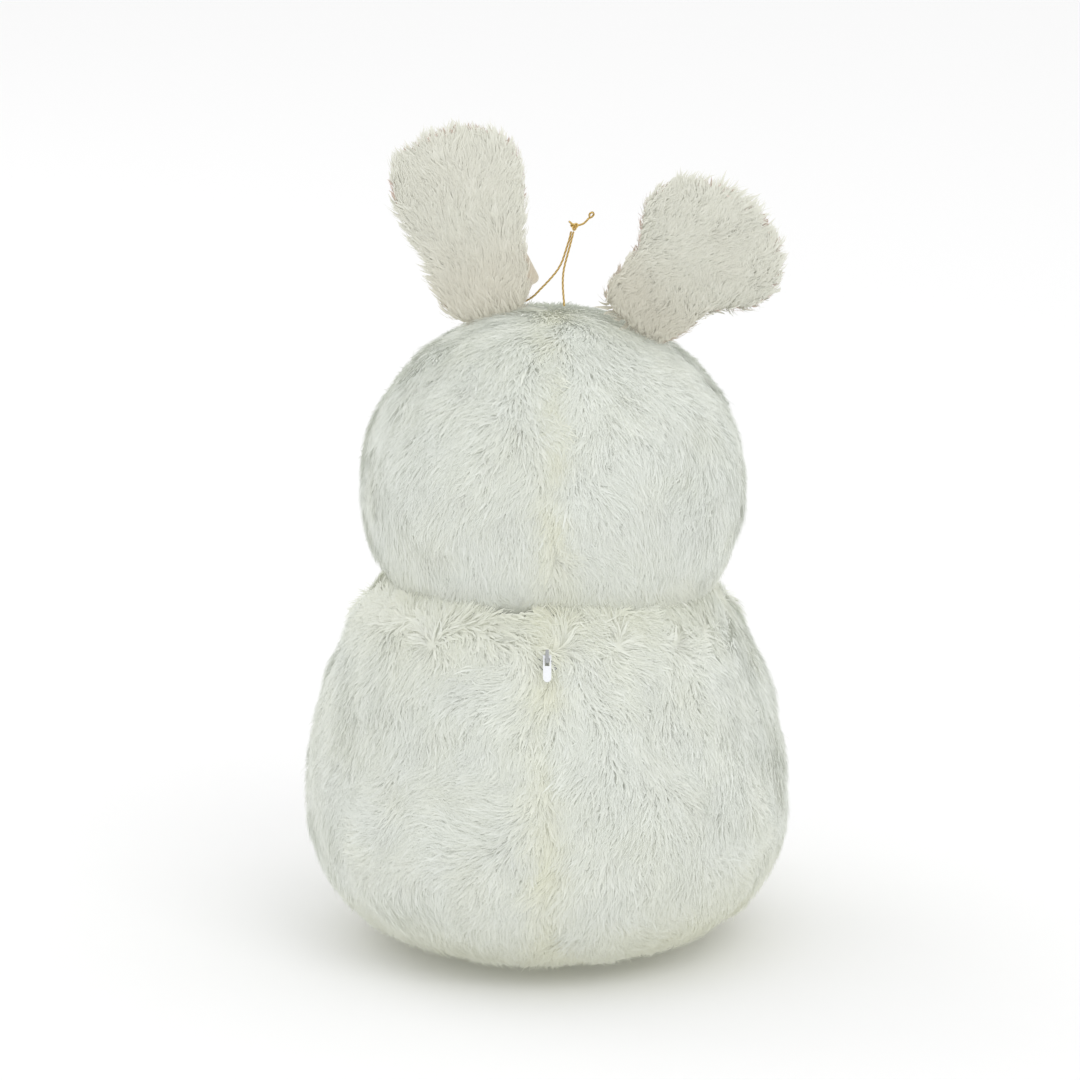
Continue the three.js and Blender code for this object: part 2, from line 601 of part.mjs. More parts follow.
const tagShape = new THREE.Shape();
const tagLow = -eyeletInset;
const tagHigh = tagLength - eyeletInset;
const tagSide = tagWidth / 2;
tagShape.moveTo(-tagSide + tagCorner, tagLow);
tagShape.lineTo(tagSide - tagCorner, tagLow);
tagShape.absarc(tagSide - tagCorner, tagLow + tagCorner, tagCorner, -Math.PI / 2, 0, false);
tagShape.lineTo(tagSide, tagHigh - tagCorner);
tagShape.absarc(tagSide - tagCorner, tagHigh - tagCorner, tagCorner, 0, Math.PI / 2, false);
tagShape.lineTo(-tagSide + tagCorner, tagHigh);
tagShape.absarc(-tagSide + tagCorner, tagHigh - tagCorner, tagCorner, Math.PI / 2, Math.PI, false);
tagShape.lineTo(-tagSide, tagLow + tagCorner);
tagShape.absarc(-tagSide + tagCorner, tagLow + tagCorner, tagCorner, Math.PI, 1.5 * Math.PI, false);
const tagHole = new THREE.Path();
tagHole.absarc(0, 0, eyeletHoleRadius + 2 * gap, 0, 2 * Math.PI, true);
tagShape.holes.push(tagHole);
addNode("swing_tag", placed(solidOf(facingY(tagShape, tagThickness)), tagFrame), card, 0.7);

// The eyelet: a sleeve through the card with a rim on each side.
const rimOut = tagThickness / 2 + gap + eyeletRim;
const rimIn = tagThickness / 2 + gap;
const eyelet = turnedAboutNormal([
  [eyeletHoleRadius, -rimOut], [eyeletRimRadius, -rimOut], [eyeletRimRadius, -rimIn],
  [eyeletHoleRadius + gap, -rimIn], [eyeletHoleRadius + gap, rimIn], [eyeletRimRadius, rimIn],
  [eyeletRimRadius, rimOut], [eyeletHoleRadius, rimOut], [eyeletHoleRadius, -rimOut],
], 16);
addNode("tag_eyelet", placed(eyelet, tagFrame), gold, 0.3, 0.9);

function cord(points) {
  const path = new THREE.CatmullRomCurve3(points.map((p) => new THREE.Vector3(...p)));
  const section = new THREE.Shape();
  section.absarc(0, 0, cordDiameter / 2, 0, 2 * Math.PI, false);
  const steps = Math.round(path.getLength() / (2.5 * cordDiameter));
  return solidOf(new THREE.ExtrudeGeometry(section, {
    steps, curveSegments: 4, extrudePath: path, bevelEnabled: false,
  }));
}
addNode("cord_right_strand", cord(rightStrandPoints), gold, 0.35, 0.8);
addNode("cord_left_strand", cord(leftStrandPoints), gold, 0.35, 0.8);
const knot = new THREE.SphereGeometry(knotRadius, 12, 8);
knot.translate(...knotCentre);
addNode("cord_knot", solidOf(knot), gold, 0.35, 0.8);

export default group;
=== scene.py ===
import json
import math

import bmesh
import bpy
import numpy as np
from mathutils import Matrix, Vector


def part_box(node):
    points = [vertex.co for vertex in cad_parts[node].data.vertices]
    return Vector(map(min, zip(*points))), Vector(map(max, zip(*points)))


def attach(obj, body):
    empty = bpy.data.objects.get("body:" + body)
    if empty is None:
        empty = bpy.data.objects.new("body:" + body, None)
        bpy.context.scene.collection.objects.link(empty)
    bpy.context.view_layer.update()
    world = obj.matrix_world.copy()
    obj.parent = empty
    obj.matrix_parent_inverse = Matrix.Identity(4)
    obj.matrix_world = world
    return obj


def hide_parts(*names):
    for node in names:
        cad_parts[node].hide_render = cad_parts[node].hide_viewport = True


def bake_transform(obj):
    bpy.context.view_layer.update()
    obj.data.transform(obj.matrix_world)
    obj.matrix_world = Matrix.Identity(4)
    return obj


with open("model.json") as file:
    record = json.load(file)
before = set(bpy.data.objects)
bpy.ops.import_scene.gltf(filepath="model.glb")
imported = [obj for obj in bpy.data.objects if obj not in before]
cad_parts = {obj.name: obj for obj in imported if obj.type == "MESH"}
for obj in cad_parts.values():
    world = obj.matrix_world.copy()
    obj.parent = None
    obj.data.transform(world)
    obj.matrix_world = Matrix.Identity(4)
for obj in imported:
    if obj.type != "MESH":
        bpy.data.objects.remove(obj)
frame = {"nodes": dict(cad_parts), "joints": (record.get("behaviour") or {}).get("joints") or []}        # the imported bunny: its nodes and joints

joints = {joint["name"]: joint for joint in frame["joints"]}
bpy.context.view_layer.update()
mm = 0.001

def addObject(name, data):
    added = bpy.data.objects.new(name, data)
    bpy.context.scene.collection.objects.link(added)
    return added


# Camera: behind the bunny and a little above it
cameraLook = {"azimuth": 180.0, "elevation": 13.0, "lens": 200.0, "sensor": 36.0, "clip": (0.01, 100),
              "frameHeight": 512.6 * mm,            # what the frame takes in at the bunny's distance
              "aim": (3.3 * mm, 0.0, 193.0 * mm)}

def makeCamera(look):
    data = bpy.data.cameras.new("studioCamera")
    data.lens = look["lens"]
    data.sensor_width = look["sensor"]
    camera = addObject("studioCamera", data)
    azimuth, elevation = math.radians(look["azimuth"]), math.radians(look["elevation"])
    back = Vector((math.sin(azimuth) * math.cos(elevation), -math.cos(azimuth) * math.cos(elevation),
                   math.sin(elevation)))
    distance = look["frameHeight"] * look["lens"] / look["sensor"]
    camera.location = Vector(look["aim"]) + back * distance
    camera.rotation_mode = "QUATERNION"
    camera.rotation_quaternion = (-back).to_track_quat("-Z", "Y")
    data.clip_start, data.clip_end = look["clip"]
    bpy.context.scene.camera = camera

makeCamera(cameraLook)


# Arrays and meshes
def unit(vectors):
    return vectors / np.maximum(np.linalg.norm(vectors, axis=-1, keepdims=True), 1e-12)

def dot(a, b):
    return (a * b).sum(-1, keepdims=True)

def smoothStep(low, high, values):
    t = np.clip((values - low) / (high - low), 0, 1)
    return t * t * (3 - 2 * t)

def nodePoints(*names):
    # the vertices of some CAD nodes, in the row frame
    found = []
    for name in names:
        vertices = frame["nodes"][name].data.vertices
        co = np.empty(len(vertices) * 3)
        vertices.foreach_get("co", co)
        found.append(co.reshape(-1, 3))
    return np.concatenate(found)

def softNoise(points, size, seed, channels=3):
    # smooth noise from -1 to 1: random values on a lattice of that size, eased between its eight corners
    lattice = np.random.default_rng(seed).uniform(-1, 1, (32, 32, 32, channels))
    place = points / size
    low = np.floor(place).astype(int)
    t = place - low
    t = t * t * (3 - 2 * t)
    total = 0
    for corner in np.ndindex(2, 2, 2):
        at = (low + corner) & 31
        share = np.prod(np.where(corner, t, 1 - t), axis=-1, keepdims=True)
        total = total + share * lattice[at[..., 0], at[..., 1], at[..., 2]]
    return total

def gridQuads(rows, columns, closeRows=False, closeColumns=False):
    # the quads of a grid of points, row by row, closed round either way
    r, c = np.arange(rows - (not closeRows)), np.arange(columns - (not closeColumns))
    r, c = np.meshgrid(r, c, indexing="ij")
    r2, c2 = (r + 1) % rows, (c + 1) % columns
    quads = np.stack([r * columns + c, r2 * columns + c, r2 * columns + c2, r * columns + c2], -1)
    return quads.reshape(-1, 4)

def newPiece(name, points, quads, triangles, uv, materials, normals=None):
    mesh = bpy.data.meshes.new(name)
    corners = np.concatenate([quads.ravel(), triangles.ravel()]).astype(np.int32)
    starts = np.concatenate([np.arange(len(quads)) * 4, quads.size + np.arange(len(triangles)) * 3])
    mesh.vertices.add(len(points))
    mesh.vertices.foreach_set("co", points.astype(np.float32).ravel())
    mesh.loops.add(len(corners))
    mesh.loops.foreach_set("vertex_index", corners)
    mesh.polygons.add(len(starts))
    mesh.polygons.foreach_set("loop_start", starts.astype(np.int32))
    mesh.polygons.foreach_set("use_smooth", np.ones(len(starts), bool))
    for material in materials:
        mesh.materials.append(material)
    if uv is not None:
        layer = mesh.uv_layers.new(name="OFBake")
        layer.data.foreach_set("uv", uv[corners].astype(np.float32).ravel())
    mesh.update(calc_edges=True)
    if normals is not None:
        shading = mesh.attributes.new("custom_normal", "FLOAT_VECTOR", "POINT")
        shading.data.foreach_set("vector", normals.astype(np.float32).ravel())
    return addObject(name, mesh)

noTriangles = np.zeros((0, 3), int)


# Node groups and materials
def newGroup(name, inputs, outputs):
    group = bpy.data.node_groups.new(name, "ShaderNodeTree")
    for label, kind, value in inputs:
        socket = group.interface.new_socket(name=label, in_out="INPUT", socket_type="NodeSocket" + kind)
        socket.default_value = value
    for label, kind in outputs:
        group.interface.new_socket(name=label, in_out="OUTPUT", socket_type="NodeSocket" + kind)
    return group, group.nodes.new("NodeGroupInput"), group.nodes.new("NodeGroupOutput")

def addNode(tree, kind, **values):
    node = tree.nodes.new("ShaderNode" + kind)
    for label, value in values.items():
        if hasattr(node, label):
            setattr(node, label, value)
        else:
            node.inputs[label].default_value = value
    return node

def mixColour(tree, factor, first, second):
    node = tree.nodes.new("ShaderNodeMix")
    node.data_type = "RGBA"
    for socket, value in ((node.inputs[0], factor), (node.inputs[6], first), (node.inputs[7], second)):
        if hasattr(value, "links"):
            tree.links.new(value, socket)
        else:
            socket.default_value = value
    return node.outputs[2]

def makePileTone():
    # colour of a fibre: root to tip along V, darker at the root as painted shade deep in the pile, and from the
    # clean tone to the cream-and-shade one along U
    group, source, result = newGroup(
        "pileTone",
        [("Root", "Color", (0.8, 0.8, 0.8, 1)), ("Tip", "Color", (0.9, 0.9, 0.9, 1)),
         ("Cream And Shade Root", "Color", (0.8, 0.8, 0.7, 1)), ("Cream And Shade Tip", "Color", (0.9, 0.9, 0.8, 1))],
        [("Colour", "Color")])
    link = group.links.new
    place = addNode(group, "UVMap", uv_map="OFBake")
    parts = addNode(group, "SeparateXYZ")
    link(place.outputs[0], parts.inputs[0])
    clean = mixColour(group, parts.outputs[1], source.outputs["Root"], source.outputs["Tip"])
    creamAndShade = mixColour(group, parts.outputs[1], source.outputs["Cream And Shade Root"], source.outputs["Cream And Shade Tip"])
    link(mixColour(group, parts.outputs[0], clean, creamAndShade), result.inputs[0])
    return group

def makeWeave():
    # plain woven or knitted cloth: two crossed waves on Object coordinates, a height, and a colour darker where
    # the height is low: painted shade between the threads
    group, source, result = newGroup(
        "weave", [("Threads", "Float", 900.0), ("Light", "Color", (0.8, 0.8, 0.8, 1)),
                  ("Dark", "Color", (0.7, 0.7, 0.7, 1))],
        [("Colour", "Color"), ("Height", "Float")])
    link = group.links.new
    place = addNode(group, "TexCoord")
    waves = []
    for direction in ("X", "Z"):
        wave = addNode(group, "TexWave", wave_type="BANDS", bands_direction=direction,
                       wave_profile="SIN", Distortion=0.6)
        link(place.outputs["Object"], wave.inputs["Vector"])
        link(source.outputs["Threads"], wave.inputs["Scale"])
        waves.append(wave.outputs["Fac"])
    height = addNode(group, "Math", operation="MULTIPLY")
    link(waves[0], height.inputs[0])
    link(waves[1], height.inputs[1])
    link(height.outputs[0], result.inputs["Height"])
    link(mixColour(group, height.outputs[0], source.outputs["Dark"], source.outputs["Light"]),
         result.inputs["Colour"])
    return group

def makeGrain():
    # moulded, brushed, carded or pulped surfaces: layered noise on Object coordinates
    group, source, result = newGroup(
        "grain", [("Size", "Float", 400.0), ("Detail", "Float", 4.0), ("Light", "Color", (0.8, 0.8, 0.8, 1)),
                  ("Dark", "Color", (0.7, 0.7, 0.7, 1)), ("Least", "Float", 0.3), ("Most", "Float", 0.5)],
        [("Colour", "Color"), ("Height", "Float"), ("Roughness", "Float")])
    link = group.links.new
    place = addNode(group, "TexCoord")
    noise = addNode(group, "TexNoise")
    link(place.outputs["Object"], noise.inputs["Vector"])
    link(noise.outputs["Fac"], result.inputs["Height"])
    link(mixColour(group, noise.outputs["Fac"], source.outputs["Dark"], source.outputs["Light"]),
         result.inputs["Colour"])
    rough = addNode(group, "MapRange")
    link(noise.outputs["Fac"], rough.inputs["Value"])
    for label, socket in (("Size", noise.inputs["Scale"]), ("Detail", noise.inputs["Detail"]),
                          ("Least", rough.inputs["To Min"]), ("Most", rough.inputs["To Max"])):
        link(source.outputs[label], socket)
    link(rough.outputs["Result"], result.inputs["Roughness"])
    return group

def makeStrandTwist():
    # lurex thread: bright plies and dark hollows across U, and fine wraps along V; the dark in the hollows is
    # painted shade between the plies
    group, source, result = newGroup(
        "strandTwist", [("Bright", "Color", (0.8, 0.6, 0.3, 1)), ("Hollow Shade", "Color", (0.2, 0.1, 0.0, 1)),
                        ("Plies", "Float", 3.0), ("Wraps", "Float", 40.0)],
        [("Colour", "Color"), ("Height", "Float")])
    link = group.links.new
    place = addNode(group, "UVMap", uv_map="OFBake")
    parts = addNode(group, "SeparateXYZ")
    link(place.outputs[0], parts.inputs[0])
    waves = []
    for socket, count in ((parts.outputs[0], "Plies"), (parts.outputs[1], "Wraps")):
        turns = addNode(group, "Math", operation="MULTIPLY")
        link(socket, turns.inputs[0])
        link(source.outputs[count], turns.inputs[1])
        angle = addNode(group, "Math", operation="MULTIPLY")
        angle.inputs[1].default_value = math.tau
        link(turns.outputs[0], angle.inputs[0])
        wave = addNode(group, "Math", operation="COSINE")
        link(angle.outputs[0], wave.inputs[0])
        share = addNode(group, "MapRange")
        share.inputs["From Min"].default_value = -1
        link(wave.outputs[0], share.inputs["Value"])
        waves.append(share.outputs["Result"])
    pliesShare = 0.75
    both = addNode(group, "Math", operation="MULTIPLY_ADD")
    both.inputs[1].default_value = pliesShare
    wraps = addNode(group, "Math", operation="MULTIPLY")
    wraps.inputs[1].default_value = 1 - pliesShare
    link(waves[1], wraps.inputs[0])
    link(waves[0], both.inputs[0])
    link(wraps.outputs[0], both.inputs[2])
    link(mixColour(group, both.outputs[0], source.outputs["Hollow Shade"], source.outputs["Bright"]),
         result.inputs["Colour"])
    link(both.outputs[0], result.inputs["Height"])
    return group

pileTone = makePileTone()
weave = makeWeave()
grain = makeGrain()
strandTwist = makeStrandTwist()

def newMaterial(name, group, values, plain, bump=None, roughnessOut=False):
    # a Principled shader fed by one group; plain numbers stay on the shader's own sockets
    material = bpy.data.materials.new(name)
    material.use_nodes = True
    tree = material.node_tree
    shader = tree.nodes["Principled BSDF"]
    for label, value in plain.items():
        shader.inputs[label].default_value = value
    pattern = tree.nodes.new("ShaderNodeGroup")
    pattern.node_tree = group
    for label, value in values.items():
        pattern.inputs[label].default_value = value
    tree.links.new(pattern.outputs["Colour"], shader.inputs["Base Color"])
    if bump:
        node = addNode(tree, "Bump", Strength=bump[0], Distance=bump[1])
        tree.links.new(pattern.outputs["Height"], node.inputs["Height"])
        tree.links.new(node.outputs[0], shader.inputs["Normal"])
    if roughnessOut:
        tree.links.new(pattern.outputs["Roughness"], shader.inputs["Roughness"])
    return material

pileLooks = {
    # each pile's Root is darker than its Tip: painted shade deep in the pile
    "longPile": {"Root": (0.65, 0.675, 0.63, 1), "Tip": (0.735, 0.765, 0.72, 1),
                 "Cream And Shade Root": (0.65, 0.655, 0.515, 1), "Cream And Shade Tip": (0.735, 0.745, 0.62, 1)},
    # the ear pile is painted darker than the body's: painted shade on the ears
    "earPile": {"Root": (0.62, 0.62, 0.545, 1), "Tip": (0.715, 0.72, 0.645, 1),
                "Cream And Shade Root": (0.56, 0.53, 0.435, 1), "Cream And Shade Tip": (0.655, 0.635, 0.545, 1)},
    "liningPile": {"Root": (0.69, 0.535, 0.475, 1), "Tip": (0.78, 0.66, 0.605, 1),
                   "Cream And Shade Root": (0.69, 0.60, 0.51, 1), "Cream And Shade Tip": (0.77, 0.71, 0.625, 1)},
}
# the Emission Color and Strength are a painted glow: fill light from no lamp, lifting the pile's shade
pileShader = {"Roughness": 0.95, "Specular IOR Level": 0.1, "Sheen Weight": 0.1, "Sheen Roughness": 0.6,
              "Emission Color": (0.95, 0.955, 0.89, 1), "Emission Strength": 0.12}
pileMaterials = {name: newMaterial(name, pileTone, tones, pileShader) for name, tones in pileLooks.items()}
# the dark hollow colour of the gold thread is painted shade between its plies
goldMaterial = newMaterial(
    "goldThread", strandTwist,
    {"Bright": (0.86, 0.62, 0.22, 1), "Hollow Shade": (0.22, 0.12, 0.03, 1), "Plies": 3.0, "Wraps": 60.0},
    {"Metallic": 0.85, "Roughness": 0.34}, bump=(0.6, 0.00012))

def grained(size, light, dark, least, most, detail=4.0):
    return grain, {"Size": size, "Detail": detail, "Light": (*light, 1), "Dark": (*dark, 1), "Least": least,
                   "Most": most}

def woven(threads, light, dark):
    return weave, {"Threads": threads, "Light": (*light, 1), "Dark": (*dark, 1)}

# each look: its pattern, the shader's own numbers, bump strength and distance, and its nodes
hardLooks = {
    # in the woven looks the Dark colour is painted shade between the threads
    "linerCloth": (woven(380.0, (0.84, 0.84, 0.81), (0.66, 0.66, 0.63)), {"Roughness": 0.9}, (0.4, 0.0002),
                   ("inner_cushion", "bead_bag", "neck_lining")),
    "polyesterFill": (grained(160.0, (0.90, 0.90, 0.89), (0.72, 0.72, 0.71), 0.85, 0.95, detail=8.0),
                      {"Subsurface Weight": 0.1, "Subsurface Scale": 0.01}, (0.8, 0.002),
                      ("head_stuffing", "ear_left_wadding", "ear_right_wadding", "arm_left_stuffing",
                       "arm_right_stuffing", "foot_left_stuffing", "foot_right_stuffing")),
    "zipTape": (woven(620.0, (0.80, 0.80, 0.75), (0.62, 0.62, 0.57)), {"Roughness": 0.85}, (0.5, 0.0001),
                ("zip_tape_left", "zip_tape_right")),
    "zipNylon": (grained(1500.0, (0.83, 0.83, 0.79), (0.75, 0.75, 0.71), 0.32, 0.46), {}, (0.1, 0.0001),
                 ("zip_coil_left", "zip_coil_right", "zip_top_stop", "zip_bottom_stop")),
    "zipMetal": (grained(2200.0, (0.42, 0.43, 0.44), (0.26, 0.27, 0.27), 0.28, 0.42), {"Metallic": 0.85},
                 (0.1, 0.0001), ("zip_slider",)),
    "pullEnamel": (grained(900.0, (0.86, 0.88, 0.91), (0.80, 0.82, 0.85), 0.22, 0.34), {"Coat Weight": 0.4},
                   (0.08, 0.0001), ("zip_pull",)),
    "eyeGloss": (grained(700.0, (0.022, 0.014, 0.010), (0.008, 0.006, 0.005), 0.06, 0.12),
                 {"Coat Weight": 0.8, "Coat Roughness": 0.04}, None, ("eye_left", "eye_right")),
    "noseFlock": (grained(2600.0, (0.62, 0.33, 0.31), (0.44, 0.20, 0.19), 0.55, 0.75, detail=6.0),
                  {"Sheen Weight": 0.25}, (0.25, 0.0002), ("nose",)),
    "washerNylon": (grained(800.0, (0.80, 0.80, 0.78), (0.72, 0.72, 0.70), 0.4, 0.55), {}, (0.1, 0.0001),
                    ("eye_left_washer", "eye_right_washer", "nose_washer")),
    "mouthThread": (woven(700.0, (0.52, 0.27, 0.25), (0.30, 0.13, 0.12)),
                    {"Roughness": 0.7, "Sheen Weight": 0.15}, (0.7, 0.0002), ("mouth_stitching",)),
    "tagCard": (grained(1200.0, (0.80, 0.75, 0.64), (0.74, 0.68, 0.57), 0.5, 0.68, detail=7.0), {},
                (0.12, 0.0001), ("swing_tag",)),
    "eyeletBrass": (grained(1800.0, (0.80, 0.62, 0.30), (0.62, 0.46, 0.20), 0.2, 0.36), {"Metallic": 1.0},
                    (0.1, 0.0001), ("tag_eyelet",)),
}

def paintHardNodes(looks):
    # the CAD nodes keep their shapes and take a material each
    for name, ((group, values), plainValues, bump, nodes) in looks.items():
        material = newMaterial(name, group, values, plainValues, bump=bump, roughnessOut=group is grain)
        for node in nodes:
            frame["nodes"][node].data.materials.clear()
            frame["nodes"][node].data.materials.append(material)

paintHardNodes(hardLooks)
print("materials made")


# Cord: two strands from the crown and from the tag, up to the knot
cordLook = {
    "diameter": 1 * mm, "plies": 3, "lobe": 0.15, "turnsPerMetre": 420, "step": 0.3 * mm, "around": 15,
    "endShare": 0.55, "wrapLength": 40 * mm, "loopRadius": 3.2 * mm, "loopRaise": 0.3 * mm,
    # routes in millimetres, the same points as the model's own strands
    "right": [(-8, 10, 307.8), (-7.9, 9.7, 310.2), (-7.7, 9.3, 312.6), (-7.5, 8.9, 315), (-7.4, 8.5, 317.4),
              (-7.4, 8, 320), (-7.6, 7.5, 322.8), (-8, 7.1, 325.4), (-8.6, 6.9, 328), (-9.3, 6.7, 330.6),
              (-10, 6.6, 333.2), (-10.7, 6.5, 335.8), (-11.3, 6.4, 338.2), (-11.9, 6.2, 340.5),
              (-12.4, 6.1, 342.6)],
    "left": [(17.2, -9.7, 311.9), (16.6, -10.3, 309.8), (15.6, -9.8, 307.9), (14, -7.6, 306.8),
             (12.2, -4.4, 307.2), (10.2, -1, 308.2), (8.2, 2, 309.8), (5.8, 4.4, 312), (3, 5.7, 315.2),
             (0, 6.2, 318.4), (-2.8, 6.3, 321.6), (-5.2, 6.2, 324.8), (-7, 6, 328.2), (-8.3, 5.8, 332),
             (-9.5, 5.6, 335.8), (-10.5, 5.5, 339), (-11.3, 5.6, 342.6)],
    "knotRadius": 1.9 * mm,
    # tails in millimetres from the knot's centre; the long one ends in a small loop
    "shortTail": [(0, 0, 0), (0.9, 0.2, 1.1), (1.7, 0.3, 1.7), (2.6, 0.2, 2.6)],
    "longTail": [(0, 0, 0), (-1.6, 0.2, 0.6), (-3.4, 0.4, 1.0), (-5.2, 0.5, 2.2), (-6.4, 0.4, 3.6),
                 (-7.8, 0.4, 4.4), (-9.0, 0.8, 5.6), (-8.4, 1.3, 6.9), (-7.2, 1.0, 6.2), (-6.9, 0.6, 4.6)],
}

def throughPoints(points, step):
    # Catmull-Rom curve through the points, then evenly spaced along its length
    p = np.asarray(points, float)
    p = np.concatenate([[2 * p[0] - p[1]], p, [2 * p[-1] - p[-2]]])
    t = np.linspace(0, 1, 24, endpoint=False)[:, None]
    a, b, c, d = (p[i:len(p) - 3 + i][:, None, :] for i in range(4))
    curve = 0.5 * (2 * b + (c - a) * t + (2 * a - 5 * b + 4 * c - d) * t ** 2
                   + (3 * b - a - 3 * c + d) * t ** 3)
    curve = np.concatenate([curve.reshape(-1, 3), p[-2:-1]])
    along = np.concatenate([[0], np.cumsum(np.linalg.norm(np.diff(curve, axis=0), axis=1))])
    at = np.linspace(0, along[-1], max(4, round(along[-1] / step) + 1))
    return np.stack([np.interp(at, along, curve[:, k]) for k in range(3)], 1), at

def twistedTube(line, at, look, closed=False, reference=(0, 1, 0)):
    # a lobed section carried along a line and turned steadily: radius times (1 - lobe + lobe |cos(1.5 angle)|)
    tangent = np.gradient(line, axis=0) if not closed else np.roll(line, -1, 0) - np.roll(line, 1, 0)
    tangent = unit(tangent)
    across = unit(np.cross(tangent, reference))
    other = np.cross(tangent, across)
    turn = at[:, None] * look["turnsPerMetre"] * math.tau / look["plies"]
    angle = np.linspace(0, math.tau, look["around"], endpoint=False)[None, :]
    lobes = np.abs(np.cos(look["plies"] / 2 * angle))
    radius = look["diameter"] / 2 * (1 - look["lobe"] + look["lobe"] * lobes)
    if not closed:
        radius = radius * np.where(np.arange(len(line)) % (len(line) - 1), 1.0, look["endShare"])[:, None]
    points = (line[:, None] + across[:, None] * (radius * np.cos(angle + turn))[..., None]
              + other[:, None] * (radius * np.sin(angle + turn))[..., None])
    count = len(line)
    uv = np.stack(np.broadcast_arrays(np.where(angle <= math.pi, angle, math.tau - angle) / math.tau,
                                      at[:, None] / look["wrapLength"]), -1)
    quads = gridQuads(count, look["around"], closeRows=closed, closeColumns=True)[:, ::-1]
    points, uv = points.reshape(-1, 3), uv.reshape(-1, 2)
    if closed:
        return points, quads, noTriangles, uv
    ring = np.arange(look["around"])
    last = (count - 1) * look["around"]
    ends = np.concatenate([np.stack([ring, np.roll(ring, -1), np.full_like(ring, len(points))], 1),
                           np.stack([np.roll(ring, -1) + last, ring + last,
                                     np.full_like(ring, len(points) + 1)], 1)])
    return (np.concatenate([points, line[:1], line[-1:]]), quads, ends,
            np.concatenate([uv, uv[:1], uv[last:last + 1]]))

def joinParts(parts):
    points, quads, triangles, uv, first = [], [], [], [], 0
    for p, q, t, w in parts:
        points.append(p)
        quads.append(q + first)
        triangles.append(t + first)
        uv.append(w)
        first += len(p)
    return tuple(np.concatenate(x) for x in (points, quads, triangles, uv))

def makeCord(look):
    knotLow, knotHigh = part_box("cord_knot")
    centre = (np.array(knotLow) + np.array(knotHigh)) / 2
    turn = np.linspace(0, math.tau, 90, endpoint=False)
    depth, reach = 1.1, 3.4          # the trefoil's own depth and half width, before it is scaled
    trefoil = np.stack([np.sin(turn) + 2 * np.sin(2 * turn), -np.sin(3 * turn) * depth,
                        np.cos(turn) - 2 * np.cos(2 * turn)], 1) * (look["knotRadius"] / reach) + centre
    parts = [twistedTube(trefoil, np.zeros(len(turn)), look, closed=True, reference=(0.05, 1, 0.02))]
    for tail in ("shortTail", "longTail"):
        line, at = throughPoints(np.array(look[tail]) * mm + centre, look["step"])
        parts.append(twistedTube(line, at, look))
    knot = newPiece("cordKnot", *joinParts(parts), [goldMaterial])
    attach(knot, "root")
    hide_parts("cord_knot")
    for side in ("right", "left"):
        line, at = throughPoints(np.array(look[side]) * mm, look["step"])
        strand = newPiece("cord" + side.capitalize() + "Strand", *twistedTube(line, at, look), [goldMaterial])
        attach(strand, "root")
        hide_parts("cord_" + side + "_strand")
        print("cord", side, "is", round(at[-1] / mm, 1), "mm long")

def makeTagLoop(look):
    # a ring of the same cord through the eyelet
    pivot, axis = (np.array(joints["tag_swing"][key], float) for key in ("pos_m", "axis"))
    up = unit(nodePoints("swing_tag").mean(0) - pivot)
    out = unit(np.cross(axis, up))
    radius = look["loopRadius"]
    turn = np.linspace(0, math.tau, 64, endpoint=False)[:, None]
    line = pivot - up * (radius - look["loopRaise"]) + radius * (np.cos(turn) * up + np.sin(turn) * out)
    at = turn[:, 0] / math.tau * look["plies"] * 3 / look["turnsPerMetre"]
    points, quads, triangles, uv = twistedTube(line, at, look, closed=True, reference=tuple(axis))
    loop = newPiece("tagLoop", points, quads, triangles, uv, [goldMaterial])
    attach(loop, "swing_tag")

makeCord(cordLook)
makeTagLoop(cordLook)


# Eyes, nose, slider and pull
buttonLooks = {"eye_left": {"piece": "eyeLeftButton", "lobe": 0.0, "slot": "eye", "material": "eyeGloss"},
               "eye_right": {"piece": "eyeRightButton", "lobe": 0.0, "slot": "eye", "material": "eyeGloss"},
               "nose": {"piece": "noseButton", "lobe": 0.07, "slot": "nose", "material": "noseFlock"}}

def lathe(rings, centre, up, lobe, around=56):
    # radius and height from one pole to the other, turned about up; lobe draws it towards three corners
    across = unit(np.cross((0, 0, 1.0), up))
    other = np.cross(up, across)
    angle = np.linspace(0, math.tau, around, endpoint=False)
    corner = 1 + lobe * (np.cos(3 * angle + math.pi / 2) - 1)
    inner = np.array(rings[1:-1])
    radius = (inner[:, :1] * corner)[..., None]
    points = (centre + radius * (np.cos(angle)[:, None] * across + np.sin(angle)[:, None] * other)
              + inner[:, 1][:, None, None] * up)
    quads = gridQuads(len(inner), around, closeColumns=True)[:, ::-1]
    count = len(inner) * around
    ring, after = np.arange(around), np.roll(np.arange(around), -1)
    last = count - around
    caps = np.concatenate([np.stack([np.full(around, count), after, ring], 1),
                           np.stack([np.full(around, count + 1), ring + last, after + last], 1)])
    poles = centre + np.array([rings[0][1], rings[-1][1]])[:, None] * up
    return np.concatenate([points.reshape(-1, 3), poles]), quads, caps

